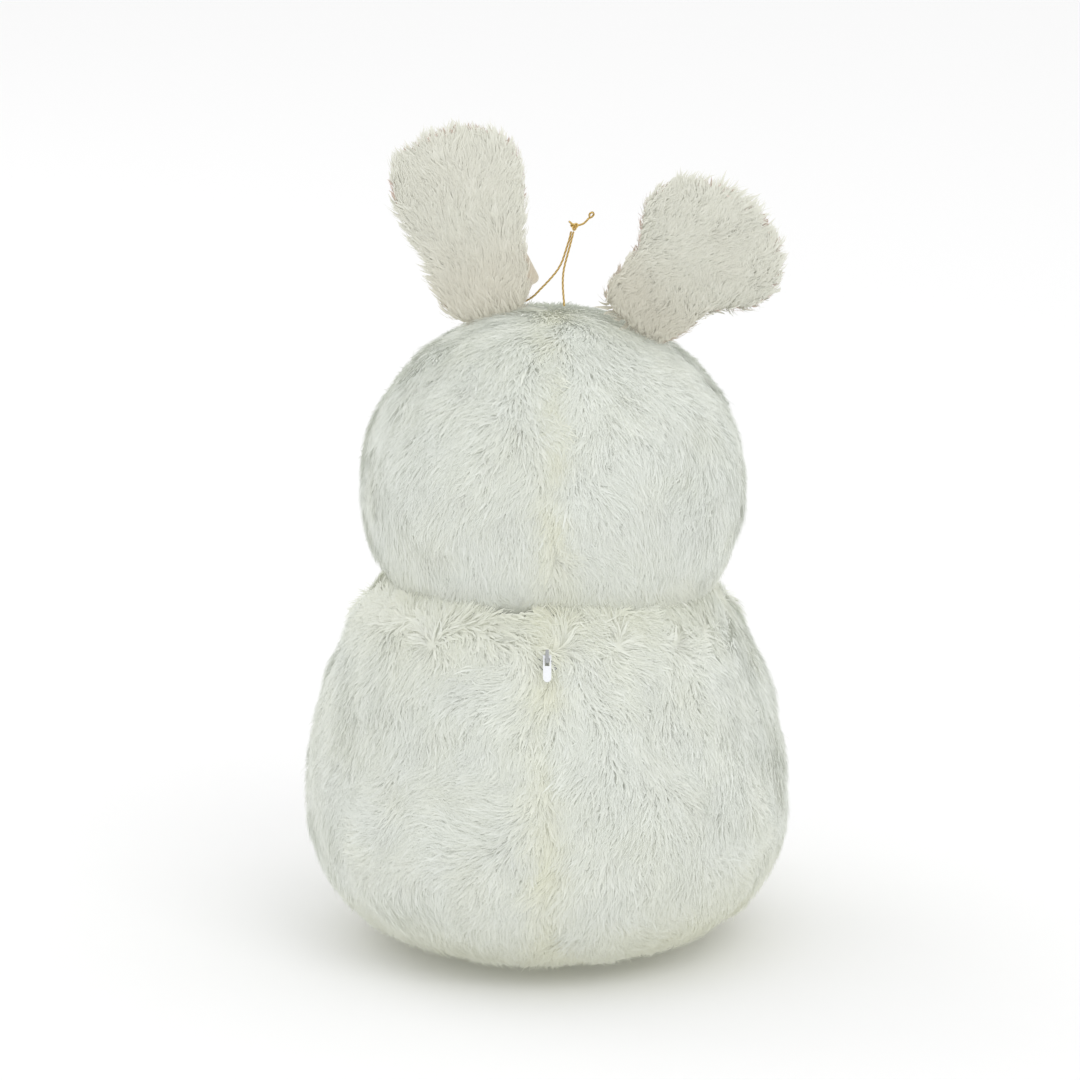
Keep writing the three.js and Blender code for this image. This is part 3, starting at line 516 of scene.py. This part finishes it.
def makeButtons(looks):
    for node, look in looks.items():
        centre, points = nodePoints(node + "_washer").mean(0), nodePoints(node)
        up = unit(points[np.argmax(np.linalg.norm(points - centre, axis=1))] - centre)
        height = (points - centre) @ up
        radius = np.linalg.norm(points - centre - height[:, None] * up, axis=1)
        foot, top, wide = height.min(), height.max(), radius.max()
        shank = radius[height < foot + 0.1 * mm].max()
        base = height[radius > wide * 0.99].min()
        edge, fillet = 0.5 * mm, 0.3 * mm
        turn = np.linspace(0, math.pi / 2, 14)
        rings = [(0, foot), (shank * 0.8, foot), (shank, foot + fillet), (shank, base - fillet),
                 (shank * 1.1, base), (wide * 0.92, base), (wide, base + edge)]
        rings += [(wide * math.cos(t), base + edge + (top - base - edge) * math.sin(t)) for t in turn[1:-1]]
        rings.append((0, top))
        button = newPiece(look["piece"], *lathe(rings, centre, up, look["lobe"]), None,
                          [bpy.data.materials[look["material"]]])
        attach(button, "root")
        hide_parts(node)

roundedParts = {"zipSliderMetal": ("zip_slider", 0.35 * mm, "zipMetal", "zip_metal"),
                "zipPullTab": ("zip_pull", 0.45 * mm, "pullEnamel", "zip_pull")}
# where the edges count as flat or sharp, in degrees
rounding = {"weld": 0.00001, "flat": 2, "sharp": 40, "segments": 3}

def makeRounded(parts):
    # the slider and the pull, with the edges of the CAD's own shapes rounded
    for name, (node, width, materialName, slotName) in parts.items():
        shape = bmesh.new()
        shape.from_mesh(frame["nodes"][node].data)
        bmesh.ops.remove_doubles(shape, verts=shape.verts, dist=rounding["weld"])
        bmesh.ops.dissolve_limit(shape, angle_limit=math.radians(rounding["flat"]), verts=shape.verts,
                                 edges=shape.edges)
        sharp = [edge for edge in shape.edges if edge.calc_face_angle(0) > math.radians(rounding["sharp"])]
        bmesh.ops.bevel(shape, geom=sharp, offset=width, segments=rounding["segments"], profile=0.5,
                        affect="EDGES", clamp_overlap=True)
        bmesh.ops.triangulate(shape, faces=shape.faces)
        mesh = bpy.data.meshes.new(name)
        shape.to_mesh(mesh)
        shape.free()
        mesh.materials.clear()
        mesh.materials.append(bpy.data.materials[materialName])
        piece = addObject(name, mesh)
        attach(piece, node)
        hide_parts(node)

makeButtons(buttonLooks)
makeRounded(roundedParts)
print("face, slider and pull made")


# Surfaces of the body, head, ears, arms and feet
# Each takes two shares from 0 to 1 and an inset, and gives points. Their sizes are read off the frame.
bodyNodes = ("body_back_left_panel", "body_back_right_panel", "body_front_panel", "base_panel")
headNodes = ("head_back_left_panel", "head_back_right_panel", "face_panel")

def measureBody():
    points = nodePoints(*bodyNodes)
    widest = points[np.argmax(points[:, 0])]
    size = {"radius": widest[0], "widestHeight": widest[2], "neckHeight": points[:, 2].max(),
            "depthFactor": points[:, 1].max() / widest[0],
            "seatRadius": points[points[:, 2] < 0.1 * mm][:, 0].max()}
    neck = points[points[:, 2] > size["neckHeight"] - 0.1 * mm][:, 0].max()
    rise = size["neckHeight"] - size["widestHeight"]
    fall = size["depthFactor"] * (size["radius"] - neck)
    size["arcRadius"] = (rise ** 2 + fall ** 2) / (2 * fall)
    size["arcCentre"] = size["radius"] * size["depthFactor"] - size["arcRadius"]
    return size

def measureHead():
    points = nodePoints(*headNodes)
    widest = points[np.argmax(points[:, 0])]
    low, high = points.min(0), points.max(0)
    middle, half = (low + high) / 2, (high - low) / 2
    return {"centre": np.array([middle[0], middle[1], widest[2]]),
            "half": np.array([half[0], half[1], high[2] - widest[2]]), "low": low[2]}

body, head = measureBody(), measureHead()

def bodySurface(around, along, inset):
    # flat seat, quarter-ellipse corner, then an arc up to the neck; the back is deeper by a factor
    seatEnd, cornerEnd = 0.15, 0.5
    rise = body["neckHeight"] - body["widestHeight"]
    height = body["widestHeight"] + rise * np.clip((along - cornerEnd) / (1 - cornerEnd), 0, 1)
    arc = (body["arcCentre"] + np.sqrt((body["arcRadius"] - inset) ** 2 - (height - body["widestHeight"]) ** 2))
    arc = arc / body["depthFactor"]
    widest = body["radius"] - inset / body["depthFactor"]
    turn = np.clip((along - seatEnd) / (cornerEnd - seatEnd), 0, 1) * math.pi / 2
    corner = body["seatRadius"] + (widest - body["seatRadius"]) * np.sin(turn)
    cornerHeight = body["widestHeight"] - (body["widestHeight"] - inset) * np.cos(turn)
    seat = body["seatRadius"] * np.clip(along / seatEnd, 0, 1)
    radius = np.where(along < seatEnd, seat, np.where(along < cornerEnd, corner, arc))
    height = np.where(along < cornerEnd, cornerHeight, height)
    angle = around * math.tau
    y = radius * np.sin(angle)
    return np.stack([radius * np.cos(angle), np.where(y > 0, y * body["depthFactor"], y), height], -1)

def headSurface(around, along, inset):
    # an ellipsoid from the crown down to the neck's plane
    half = head["half"] - inset
    lowest = math.acos((head["low"] - head["centre"][2]) / half[2])
    polar, angle = along * lowest, around * math.tau
    ball = np.stack([np.sin(polar) * np.cos(angle), np.sin(polar) * np.sin(angle), np.cos(polar)], -1)
    return head["centre"] + ball * half

def measurePaddle(jointName, outer, inner):
    # a paddle turned about the line from its pivot to its tip; outer and inner are its two faces' nodes
    pivot = np.array(joints[jointName]["pos_m"], float)
    one, two = nodePoints(outer), nodePoints(inner)
    points = np.concatenate([one, two])
    up = unit(points.mean(0) - pivot)
    out = one.mean(0) - two.mean(0)
    out = unit(out - up * (out @ up))
    across = np.cross(out, up)
    local = (points - pivot) @ np.stack([across, out, up], 1)
    tip = local[:, 2].max()
    return {"pivot": pivot, "axes": np.stack([across, out, up]), "root": -local[:, 2].min(), "tip": tip,
            "wide": local[:, 0].max(), "widest": local[np.argmax(local[:, 0]), 2] / tip,
            "thick": np.abs(local[:, 1]).max(), "square": 1.0, "sink": 0.0, "tipEase": 0.0}

def cubic(a, b, c, d, t):
    return a * (1 - t) ** 3 + 3 * b * t * (1 - t) ** 2 + 3 * c * t ** 2 * (1 - t) + d * t ** 3

def paddleOutline(size, inset, along):
    # a root between a quarter circle and a square, a flare to the widest place, and a blunt tip
    root, wide = size["root"] - inset, size["wide"] - inset
    tip, share = size["tip"] - inset - size["tipEase"] * mm, size["widest"]
    t = np.linspace(0, 1, 40)
    turn = (t - 1) * math.pi / 2
    radius = np.concatenate([root * np.cos(turn) ** size["square"], cubic(root, root, wide, wide, t),
                             cubic(wide, wide, wide * 0.62, 0, t)])
    height = np.concatenate([(root + size["sink"] * mm) * np.sin(turn),
                             cubic(0, tip * 0.2, tip * 0.35, tip * share, t),
                             cubic(tip * share, tip * (1 + share) / 2, tip, tip, t)])
    run = np.concatenate([[0], np.cumsum(np.hypot(np.diff(radius), np.diff(height)))])
    at = along * run[-1]
    return np.interp(at, run, radius), np.interp(at, run, height)

def paddleSurface(size):
    def surface(around, along, inset):
        radius, height = paddleOutline(size, inset, along)
        angle = around * math.tau
        flat = (size["thick"] - inset) / (size["wide"] - inset)
        local = np.stack([radius * np.cos(angle), radius * np.sin(angle) * flat, height], -1)
        return size["pivot"] + local @ size["axes"]
    return surface

def footSurface(side):
    # a round pad lying along Y, its toe rounded; the heel runs into the body
    upperLow, upperHigh = (np.array(c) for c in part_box("foot_" + side + "_upper"))
    soleLow = np.array(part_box("foot_" + side + "_sole")[0])
    centreX, radius = (upperLow[0] + upperHigh[0]) / 2, (upperHigh[0] - upperLow[0]) / 2
    centreZ, toe, heel = upperHigh[2] / 2, soleLow[1], upperHigh[1]
    nose, toeEnd, narrowing = 22 * mm, 0.4, 0.15
    def surface(around, along, inset):
        turn = np.clip(along / toeEnd, 0, 1) * math.pi / 2
        cap = (radius - inset) * np.sin(turn) ** 0.7
        back = np.clip((along - toeEnd) / (1 - toeEnd), 0, 1)
        y = np.where(along < toeEnd, toe + inset + (nose - inset) * (1 - np.cos(turn)),
                     toe + nose + (heel - toe - nose) * back)
        r = np.where(along < toeEnd, cap, (radius - inset) * (1 - narrowing * back))
        angle = around * math.tau
        return np.stack([centreX - r * np.cos(angle), y, centreZ + r * np.sin(angle)], -1)
    return surface


# Pile
def shareAt(surface, axis, value):
    # how far along a surface it reaches a value on an axis
    grid = np.linspace(0, 1, 400)
    return float(np.interp(value, surface(grid * 0, grid, 0.0)[:, axis], grid))

def surfaceNormals(surface, around, along, inset, outFrom):
    # from the two directions along the surface, turned to point away from what it encloses
    step = 1e-3
    one = surface(around + step, along, inset) - surface(around - step, along, inset)
    two = (surface(around, np.minimum(along + step, 1), inset)
           - surface(around, np.maximum(along - step, 0), inset))
    normal = unit(np.cross(one, two))
    return normal * np.where(dot(normal, outFrom(surface(around, along, inset))) < 0, -1, 1)

def scatterPlaces(surface, ranges, inset, density, rng):
    # shares on a surface spread evenly by area
    (a0, a1), (b0, b1) = ranges
    cells = 120
    a, b = np.meshgrid(np.linspace(a0, a1, cells + 1), np.linspace(b0, b1, cells + 1), indexing="ij")
    grid = surface(a, b, inset)
    area = np.linalg.norm(np.cross(grid[1:, :-1] - grid[:-1, :-1], grid[:-1, 1:] - grid[:-1, :-1]), axis=-1)
    total = np.cumsum(area.ravel())
    count = int(total[-1] / mm ** 2 * density)
    cell = np.searchsorted(total, (np.arange(count) + rng.random(count)) / count * total[-1])
    cell = np.minimum(cell, cells * cells - 1)
    around = a0 + (cell // cells + rng.random(count)) / cells * (a1 - a0)
    along = b0 + (cell % cells + rng.random(count)) / cells * (b1 - b0)
    return around, along

def clothPatch(surface, ranges, inset, thickness, tone, outFrom, rows=28, columns=28):
    # a closed sheet: the grid, the same grid further in, and a strip round its edge
    (a0, a1), (b0, b1) = ranges
    a, b = np.meshgrid(np.linspace(a0, a1, rows), np.linspace(b0, b1, columns), indexing="ij")
    outer, inner = surface(a, b, inset), surface(a, b, inset + thickness)
    points = np.concatenate([outer.reshape(-1, 3), inner.reshape(-1, 3)])
    top = gridQuads(rows, columns)
    rim = np.concatenate([np.arange(columns), np.arange(2, rows + 1) * columns - 1,
                          np.arange(rows * columns - 2, (rows - 1) * columns - 1, -1),
                          np.arange(rows - 2, 0, -1) * columns])
    after = np.roll(rim, -1)
    strip = np.stack([rim, after, after + rows * columns, rim + rows * columns], 1)
    quads = np.concatenate([top, top[:, ::-1] + rows * columns, strip])
    # the backing takes the fibres' root colour, darkened as painted shade deep in the pile
    uv = np.stack([tone(points), np.zeros(len(points))], 1)
    normals = surfaceNormals(surface, a, b, inset, outFrom).reshape(-1, 3)
    if dot(np.cross(points[1] - points[0], points[columns] - points[0])[None], normals[:1]) > 0:
        quads = quads[:, ::-1]
    return (points, quads, noTriangles, uv), np.concatenate([normals, -normals])

def fibres(roots, normals, flow, look, trim, tone, rng, seed):
    # ribbons of three steps: each rises from its root, leans along the flow and gathers into clumps
    count = len(roots)
    swirl = (look["swirl"][0] * softNoise(roots, look["swirlSize"][0] * mm, seed, 1)
             + look["swirl"][1] * softNoise(roots, look["swirlSize"][1] * mm, seed + 1, 1))
    side = np.cross(flow, normals)
    flow = flow * np.cos(swirl) + side * np.sin(swirl)
    side = np.cross(flow, normals)
    ahead = roots + flow * look["reach"] * 0.5 * mm
    clump = softNoise(ahead, look["clumpSize"] * mm, seed + 2) * look["clump"] * mm
    clump = clump + softNoise(ahead, look["clumpSize"] * 0.45 * mm, seed + 3) * look["clump"] * 0.4 * mm
    clump = clump - normals * dot(clump, normals)
    heave = 1 + look["heave"] * softNoise(ahead, look["heaveSize"] * mm, seed + 4, 1)
    stray = np.where(rng.random((count, 1)) < look["strays"], 1.35, 1.0)
    under = rng.random((count, 1)) < look["under"]     # short wide fibres that close the ground
    rise = look["rise"] * mm * heave * (0.8 + 0.4 * rng.random((count, 1))) * trim * stray
    rise = np.where(under, rise * 0.72, rise)
    reach = look["reach"] * mm * (0.7 + 0.6 * rng.random((count, 1))) * (0.45 + 0.55 * trim)
    wander = rng.normal(0, look["wander"] * mm, (count, 3))
    wander = wander - normals * dot(wander, normals)
    bend = rng.normal(0, 0.12, (count, 1)) * reach
    roll = rng.normal(0, look["roll"], (count, 1))
    flat = side * np.cos(roll) + normals * np.sin(roll)
    width = np.where(under, look["underWidth"], look["width"]) * mm * (0.75 + 0.5 * rng.random((count, 1)))
    steps, widths = (0.0, 0.4, 0.74, 1.0), (0.85, 1.0, 0.62)
    points = []
    for i, t in enumerate(steps):
        spine = (roots + normals * rise * (1 - (1 - t) ** 2.1) + flow * reach * t ** 1.25
                 + (clump + wander) * (0.35 + 0.65 * trim) * t ** 1.5 + side * bend * math.sin(math.pi * t))
        if i < 3:
            points += [spine - flat * width * widths[i] / 2, spine + flat * width * widths[i] / 2]
        else:
            points.append(spine)
    points = np.stack(points, 1)
    points[..., 2] = np.maximum(points[..., 2], look.get("floor", 0.4) * mm)
    first = np.arange(count)[:, None] * 7
    quads = np.concatenate([first + [0, 1, 3, 2], first + [2, 3, 5, 4]])
    triangles = first + [4, 5, 6]
    # U: the share of the cream-and-shade tone, the seam's cream tint together with the painted shade that the
    # tone gives
    creamAndShade = np.clip(tone(roots) + rng.normal(0, 0.06, count), 0, 1)
    spread = 0.25                                      # how unevenly the roots start their colour
    start = rng.random(count) * spread
    levels = np.repeat(steps, 2)[:7]
    v = start[:, None] + (1 - spread) * levels[None, :]
    uv = np.stack(np.broadcast_arrays(creamAndShade[:, None], v), -1)
    return points.reshape(-1, 3), quads, triangles, uv.reshape(-1, 2)

def makePile(name, surface, ranges, look, comb, trim, tone, bodyName, slotName, nodes, seed, outFrom,
             hang=None, bend=None):
    # one sewn panel: its backing cloth and its pile, in place of the CAD skin
    rng = np.random.default_rng(seed)
    around, along = scatterPlaces(surface, ranges, look["inset"] * mm, look["density"], rng)
    roots = surface(around, along, look["inset"] * mm)
    normals = surfaceNormals(surface, around, along, look["inset"] * mm, outFrom)
    flow = comb(roots)
    flow = unit(flow - normals * dot(flow, normals))
    if hang is not None:
        share = hang(roots)[:, None]
        flow = unit(flow * (1 - share) + np.array([0, 0, -1.0]) * share)
    cloth, clothNormals = clothPatch(surface, ranges, look["inset"] * mm, look["backing"] * mm, tone, outFrom)
    hairs = fibres(roots, normals, flow, look, trim(roots)[:, None], tone, rng, seed * 10)
    # the fibres are shaded with the panel's own normals, leaning a little along the pile
    steps = np.array([0, 0, 1, 1, 2, 2, 3])[:, None]
    shading = unit(normals[:, None] + flow[:, None] * look["lean"] * steps / 3)
    shading = np.concatenate([clothNormals, shading.reshape(-1, 3)])
    piece = newPiece(name, *joinParts([cloth, hairs]), [pileMaterials[look["material"]]], shading)
    if bend is None:
        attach(piece, bodyName)
    else:
        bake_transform(piece)
    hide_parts(*nodes)
    print(name, "has", len(roots), "fibres,", 2 * len(piece.data.polygons) - len(hairs[2]), "triangles")

longPile = {"material": "longPile", "inset": 4.4, "backing": 0.8, "density": 1.33, "rise": 3.3, "reach": 9.5,
            "width": 0.34, "under": 0.34, "underWidth": 1.4, "roll": 0.15, "swirl": (1.0, 0.75),
            "swirlSize": (30, 11), "clump": 3.6, "clumpSize": 6.5, "heave": 0.5, "heaveSize": 13,
            "strays": 0.03, "wander": 1.9, "lean": 0.35}
headPile = dict(longPile, density=1.8)
seatPile = dict(longPile, density=0.6, rise=3.0, floor=0.3)
earPile = dict(longPile, material="earPile", inset=3.2, density=1.9, rise=2.7, reach=7.5,
               clump=2.6, clumpSize=5.0, swirl=(0.7, 0.7), swirlSize=(24, 9),
               wander=1.1, strays=0.0)
liningPile = dict(earPile, material="liningPile", density=1.5, rise=2.6, reach=4.5, clump=1.0,
                  swirl=(0.2, 0.2))
armPile = dict(longPile, inset=3.6, density=1.35, rise=3.2, reach=9.5, clump=3.2, clumpSize=6.0)
solePile = dict(liningPile, inset=3.6, rise=3.0)

def awayFromAxis(centre):
    return lambda p: p - np.asarray(centre)

toneLook = {"patchSize": 16 * mm, "seamWander": 4 * mm, "bodySeam": 8 * mm, "headSeam": 7 * mm}

def patchesAndSeam(p, across, width, seed):
    # uneven patches, and the band along the back seam that wanders with them
    patchy = softNoise(p, toneLook["patchSize"], seed, 1)[:, 0]
    return patchy, np.exp(-((across + toneLook["seamWander"] * patchy) / width) ** 2) * (p[:, 1] > 0)

# which places are creamier and darker: a creamier band along the back seam, and painted shade round the neck,
# low down where the body turns under and low on the right flank
def bodyTone(p):
    x, z = p[:, 0], p[:, 2]
    patchy, seam = patchesAndSeam(p, x, toneLook["bodySeam"], 5)
    # neck, low and the right flank term are painted shade; the seam band and the patches are the pile's own
    # tint
    neck = smoothStep(body["neckHeight"] - 30 * mm, body["neckHeight"], z)
    low = 1 - smoothStep(10 * mm, 50 * mm, z)
    rightFlankShade = (1 - smoothStep(-70 * mm, -20 * mm, x)) * (1 - smoothStep(30 * mm, 80 * mm, z))
    creamAndShade = (0.6 + 0.3 * patchy) * seam + 0.4 * neck + 0.7 * low + 0.4 * rightFlankShade + 0.15 * patchy + 0.12
    return np.clip(creamAndShade, 0, 1)

def headTone(p):
    patchy, seam = patchesAndSeam(p, p[:, 0] - head["centre"][0], toneLook["headSeam"], 6)
    # neck: painted shade low on the head, above the neck crease; the seam band and the patches are the pile's
    # own tint
    neck = 1 - smoothStep(head["low"], head["low"] + 24 * mm, p[:, 2])
    return np.clip((0.5 + 0.3 * patchy) * seam + 0.4 * neck + 0.15 * patchy + 0.1, 0, 1)

def combBody(p):
    # down the body, out from the back seam, and more across on the left flank
    x, y, z = p[:, 0], p[:, 1], p[:, 2]
    back = smoothStep(-20 * mm, 20 * mm, y)
    flank = 0.85 * np.exp(-((z - 82 * mm) / (42 * mm)) ** 2) * smoothStep(0, 25 * mm, x)
    out = flank * back + 0.4 * softNoise(p, 20 * mm, 9, 1)[:, 0]
    patchy = softNoise(p, 14 * mm, 10, 1)[:, 0]
    neck = smoothStep(body["neckHeight"] - 30 * mm, body["neckHeight"] - 4 * mm, z + 14 * mm * patchy)
    return np.stack([out + neck * patchy, 0 * x, -(1 - 0.9 * np.abs(out)) * (1 - 1.3 * neck)], 1)

def combHead(p):
    # down from the crown and out from the seam at the back, and away from the nose on the face
    x, y = p[:, 0], p[:, 1]
    face = smoothStep(20 * mm, -30 * mm, y)[:, None]
    across = x - head["centre"][0]
    out = np.where(across > 0, 0.5, -0.25) * smoothStep(3 * mm, 40 * mm, np.abs(across))
    behind = np.stack([out, 0 * x, -np.ones_like(x)], 1)
    nose = np.array([sum(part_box("nose")[i][k] for i in (0, 1)) / 2 for k in range(3)])
    before = unit(p - nose) * np.array([1.0, 1.0, 0.8]) + np.array([0, 0, -0.25])
    return behind * (1 - face) + before * face

def combToTip(size, spread=0.35):
    # towards the paddle's tip, spreading to its edges
    def comb(p):
        local = (p - size["pivot"]) @ size["axes"].T
        return size["axes"][2] + size["axes"][0] * (spread * local[:, :1] / size["wide"])
    return comb

def combFoot(p):
    return np.tile([0.0, -1.0, -0.25], (len(p), 1))

def trimBody(p):
    # shorter along the back seam, shortest round the slider
    x, y, z = p[:, 0], p[:, 1], p[:, 2]
    groove = 1 - 0.3 * np.exp(-(x / (5 * mm)) ** 2) * (y > 0) * smoothStep(20 * mm, 50 * mm, z)
    low, high = (np.array(c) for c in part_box("zip_slider"))
    slider = np.exp(-((np.hypot(x, (z - (low[2] + high[2]) / 2 + 3 * mm) * 0.8)) / (3.8 * mm)) ** 4) * (y > 0)
    seat = 0.55 + 0.45 * smoothStep(0, 20 * mm, z)
    side = smoothStep(45 * mm, 70 * mm, np.abs(x))
    neck = 1 - 0.45 * side * smoothStep(body["neckHeight"] - 20 * mm, body["neckHeight"] - 3 * mm, z)
    return groove * (1 - 0.65 * slider) * seat * neck

faceTrim = {"cut": 0.62, "reach": {"eye_left": 15, "eye_right": 15, "nose": 17, "mouth_stitching": 17}}

def trimHead(p):
    # a little shorter along the seam and low at the sides, shortest round the face's features
    x, y = p[:, 0] - head["centre"][0], p[:, 1]
    groove = 1 - 0.12 * np.exp(-(x / (5 * mm)) ** 2) * (y > 0)
    side = smoothStep(45 * mm, 70 * mm, np.abs(x))
    groove = groove * (1 - 0.45 * side * (1 - smoothStep(head["low"] + 2 * mm, head["low"] + 22 * mm, p[:, 2])))
    for name, reach in faceTrim["reach"].items():
        low, high = (np.array(c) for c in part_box(name))
        centre = (low + high) / 2
        centre[1] = low[1]
        away = np.linalg.norm(p - centre, axis=1)
        groove = groove * (1 - faceTrim["cut"] * np.exp(-(away / (reach * mm)) ** 4))
    return groove

def plain(p):
    return np.ones(len(p))

def paddleTone(size, amount):
    # painted shade close to the root, where the ear meets the head and the arm meets the body: darker and
    # creamier there
    def tone(p):
        height = (p - size["pivot"]) @ size["axes"][2]
        return np.clip(amount * (1 - smoothStep(-size["root"], size["tip"] * 0.35, height))
                       + 0.15 * softNoise(p, 20 * mm, 8, 1)[:, 0] + 0.15, 0, 1)
    return tone

def makeBodyPile():
    baseEnd = shareAt(bodySurface, 2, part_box("base_panel")[1][2])
    outFrom = awayFromAxis((0, 0, body["widestHeight"]))
    quarters = {"bodyBackLeftPile": (0, 0.25, "body_back_left_panel"),
                "bodyBackRightPile": (0.25, 0.5, "body_back_right_panel"),
                "bodyFrontRightPile": (0.5, 0.75, "body_front_panel"),
                "bodyFrontLeftPile": (0.75, 1.0, "body_front_panel")}
    for seed, (name, (start, end, node)) in enumerate(quarters.items(), 11):
        makePile(name, bodySurface, ((start, end), (baseEnd, 1)), longPile, combBody, trimBody, bodyTone,
                 "root", "pile_fabric", [node], seed, outFrom)
    makePile("basePile", bodySurface, ((0, 1), (0.001, baseEnd)), seatPile, combBody, trimBody, bodyTone,
             "root", "pile_fabric", ["base_panel"], 15, outFrom)

def hangAtNeck(p):
    # how far the head's pile hangs straight down over the neck, behind
    return 0.85 * (p[:, 1] > 0) * (1 - smoothStep(head["low"], head["low"] + 24 * mm, p[:, 2]))

def makeHeadPile():
    quarters = {"headBackLeftPile": (0, 0.25, "head_back_left_panel"),
                "headBackRightPile": (0.25, 0.5, "head_back_right_panel"),
                "faceRightPile": (0.5, 0.75, "face_panel"), "faceLeftPile": (0.75, 1.0, "face_panel")}
    for seed, (name, (start, end, node)) in enumerate(quarters.items(), 21):
        makePile(name, headSurface, ((start, end), (0.002, 1)), headPile, combHead, trimHead, headTone,
                 "root", "pile_fabric", [node], seed, awayFromAxis(head["centre"]), hang=hangAtNeck)

earShape = {"square": 0.3, "sink": 6.0, "tipEase": 1.5, "bendFrom": -17.0, "bendTo": 14.0}

def makePaddlePiles(kind, joint, faces, looks, slots, seed, toneAmount, shape):
    for side in ("left", "right"):
        bodyName = kind + "_" + side
        nodes = [bodyName + "_" + face for face in faces]
        size = measurePaddle(joint.format(side), *nodes)
        size.update(shape)
        surface = paddleSurface(size)
        bend = None
        if "bendFrom" in size:
            bend = [tuple(size["pivot"] + size["axes"][2] * size[end] * mm) for end in ("bendFrom", "bendTo")]
        for half, (node, look, slotName) in enumerate(zip(nodes, looks, slots)):
            ranges = ((0, 0.5), (0.002, 0.998)) if half == 0 else ((0.5, 1), (0.002, 0.998))
            name = kind + side.capitalize() + faces[half].capitalize() + "Pile"
            makePile(name, surface, ranges, look, combToTip(size), plain, paddleTone(size, toneAmount),
                     bodyName, slotName, [node], seed, awayFromAxis(size["pivot"] + size["axes"][2] * 20 * mm),
                     bend=bend)
            seed += 1

def makeFootPiles():
    for seed, side in enumerate(("left", "right"), 51):
        surface = footSurface(side)
        low, high = (np.array(c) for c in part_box("foot_" + side + "_upper"))
        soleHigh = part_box("foot_" + side + "_sole")[1][1]
        split = shareAt(surface, 1, soleHigh)
        outFrom = awayFromAxis(((low[0] + high[0]) / 2, soleHigh + 12 * mm, high[2] / 2))
        makePile("foot" + side.capitalize() + "UpperPile", surface, ((0, 1), (split, 1)), armPile, combFoot,
                 plain, bodyTone, "root", "pile_fabric", ["foot_" + side + "_upper"], seed, outFrom)
        makePile("foot" + side.capitalize() + "SolePile", surface, ((0, 1), (0.002, split)), solePile, combFoot,
                 plain, plain, "root", "sole_velour", ["foot_" + side + "_sole"], seed + 2, outFrom)

makeBodyPile()
makeHeadPile()
makePaddlePiles("ear", "ear_{}_lean", ("back", "lining"), (earPile, liningPile),
                ("pile_fabric", "ear_lining"), 31, 0.8, earShape)
makePaddlePiles("arm", "arm_{}_swing", ("outer", "inner"), (armPile, armPile),
                ("pile_fabric", "pile_fabric"), 41, 0.3, {})
makeFootPiles()
print("pile made")


# Floor and lights
studio = {"floorSize": 60.0, "floor": (0.93, 0.93, 0.93, 1), "world": 1.0, "keyPower": 12.0, "keySize": 1.6,
          "aim": (0, 0, 0.2),
          # each lamp's place and its share of the key power
          "lamps": {"keyLight": ((-1.1, 1.9, 2.2), 1.0), "fillLight": ((1.6, -1.4, 1.8), 0.5)}}

def makeStudio(look):
    scene = bpy.context.scene
    scene.view_settings.view_transform = "Standard"
    half = look["floorSize"] / 2
    corners = np.array([(-half, -half, 0), (half, -half, 0), (half, half, 0), (-half, half, 0)], float)
    floorMaterial = newMaterial("paleFloor", grain,
                                {"Size": 3.0, "Light": look["floor"], "Dark": look["floor"]},
                                {"Roughness": 0.9, "Specular IOR Level": 0.1})
    floor = newPiece("floor", corners, np.array([[0, 1, 2, 3]]), noTriangles, None, [floorMaterial])
    world = bpy.data.worlds.new("studioWorld")
    scene.world = world
    world.use_nodes = True
    world.node_tree.nodes["Background"].inputs["Color"].default_value = (1, 1, 1, 1)
    world.node_tree.nodes["Background"].inputs["Strength"].default_value = look["world"]
    for name, (place, share) in look["lamps"].items():
        data = bpy.data.lights.new(name, "AREA")
        data.energy = look["keyPower"] * share
        data.size = look["keySize"]
        lamp = addObject(name, data)
        lamp.location = place
        lamp.rotation_mode = "QUATERNION"
        lamp.rotation_quaternion = (Vector(look["aim"]) - Vector(place)).to_track_quat("-Z", "Y")

makeStudio(studio)
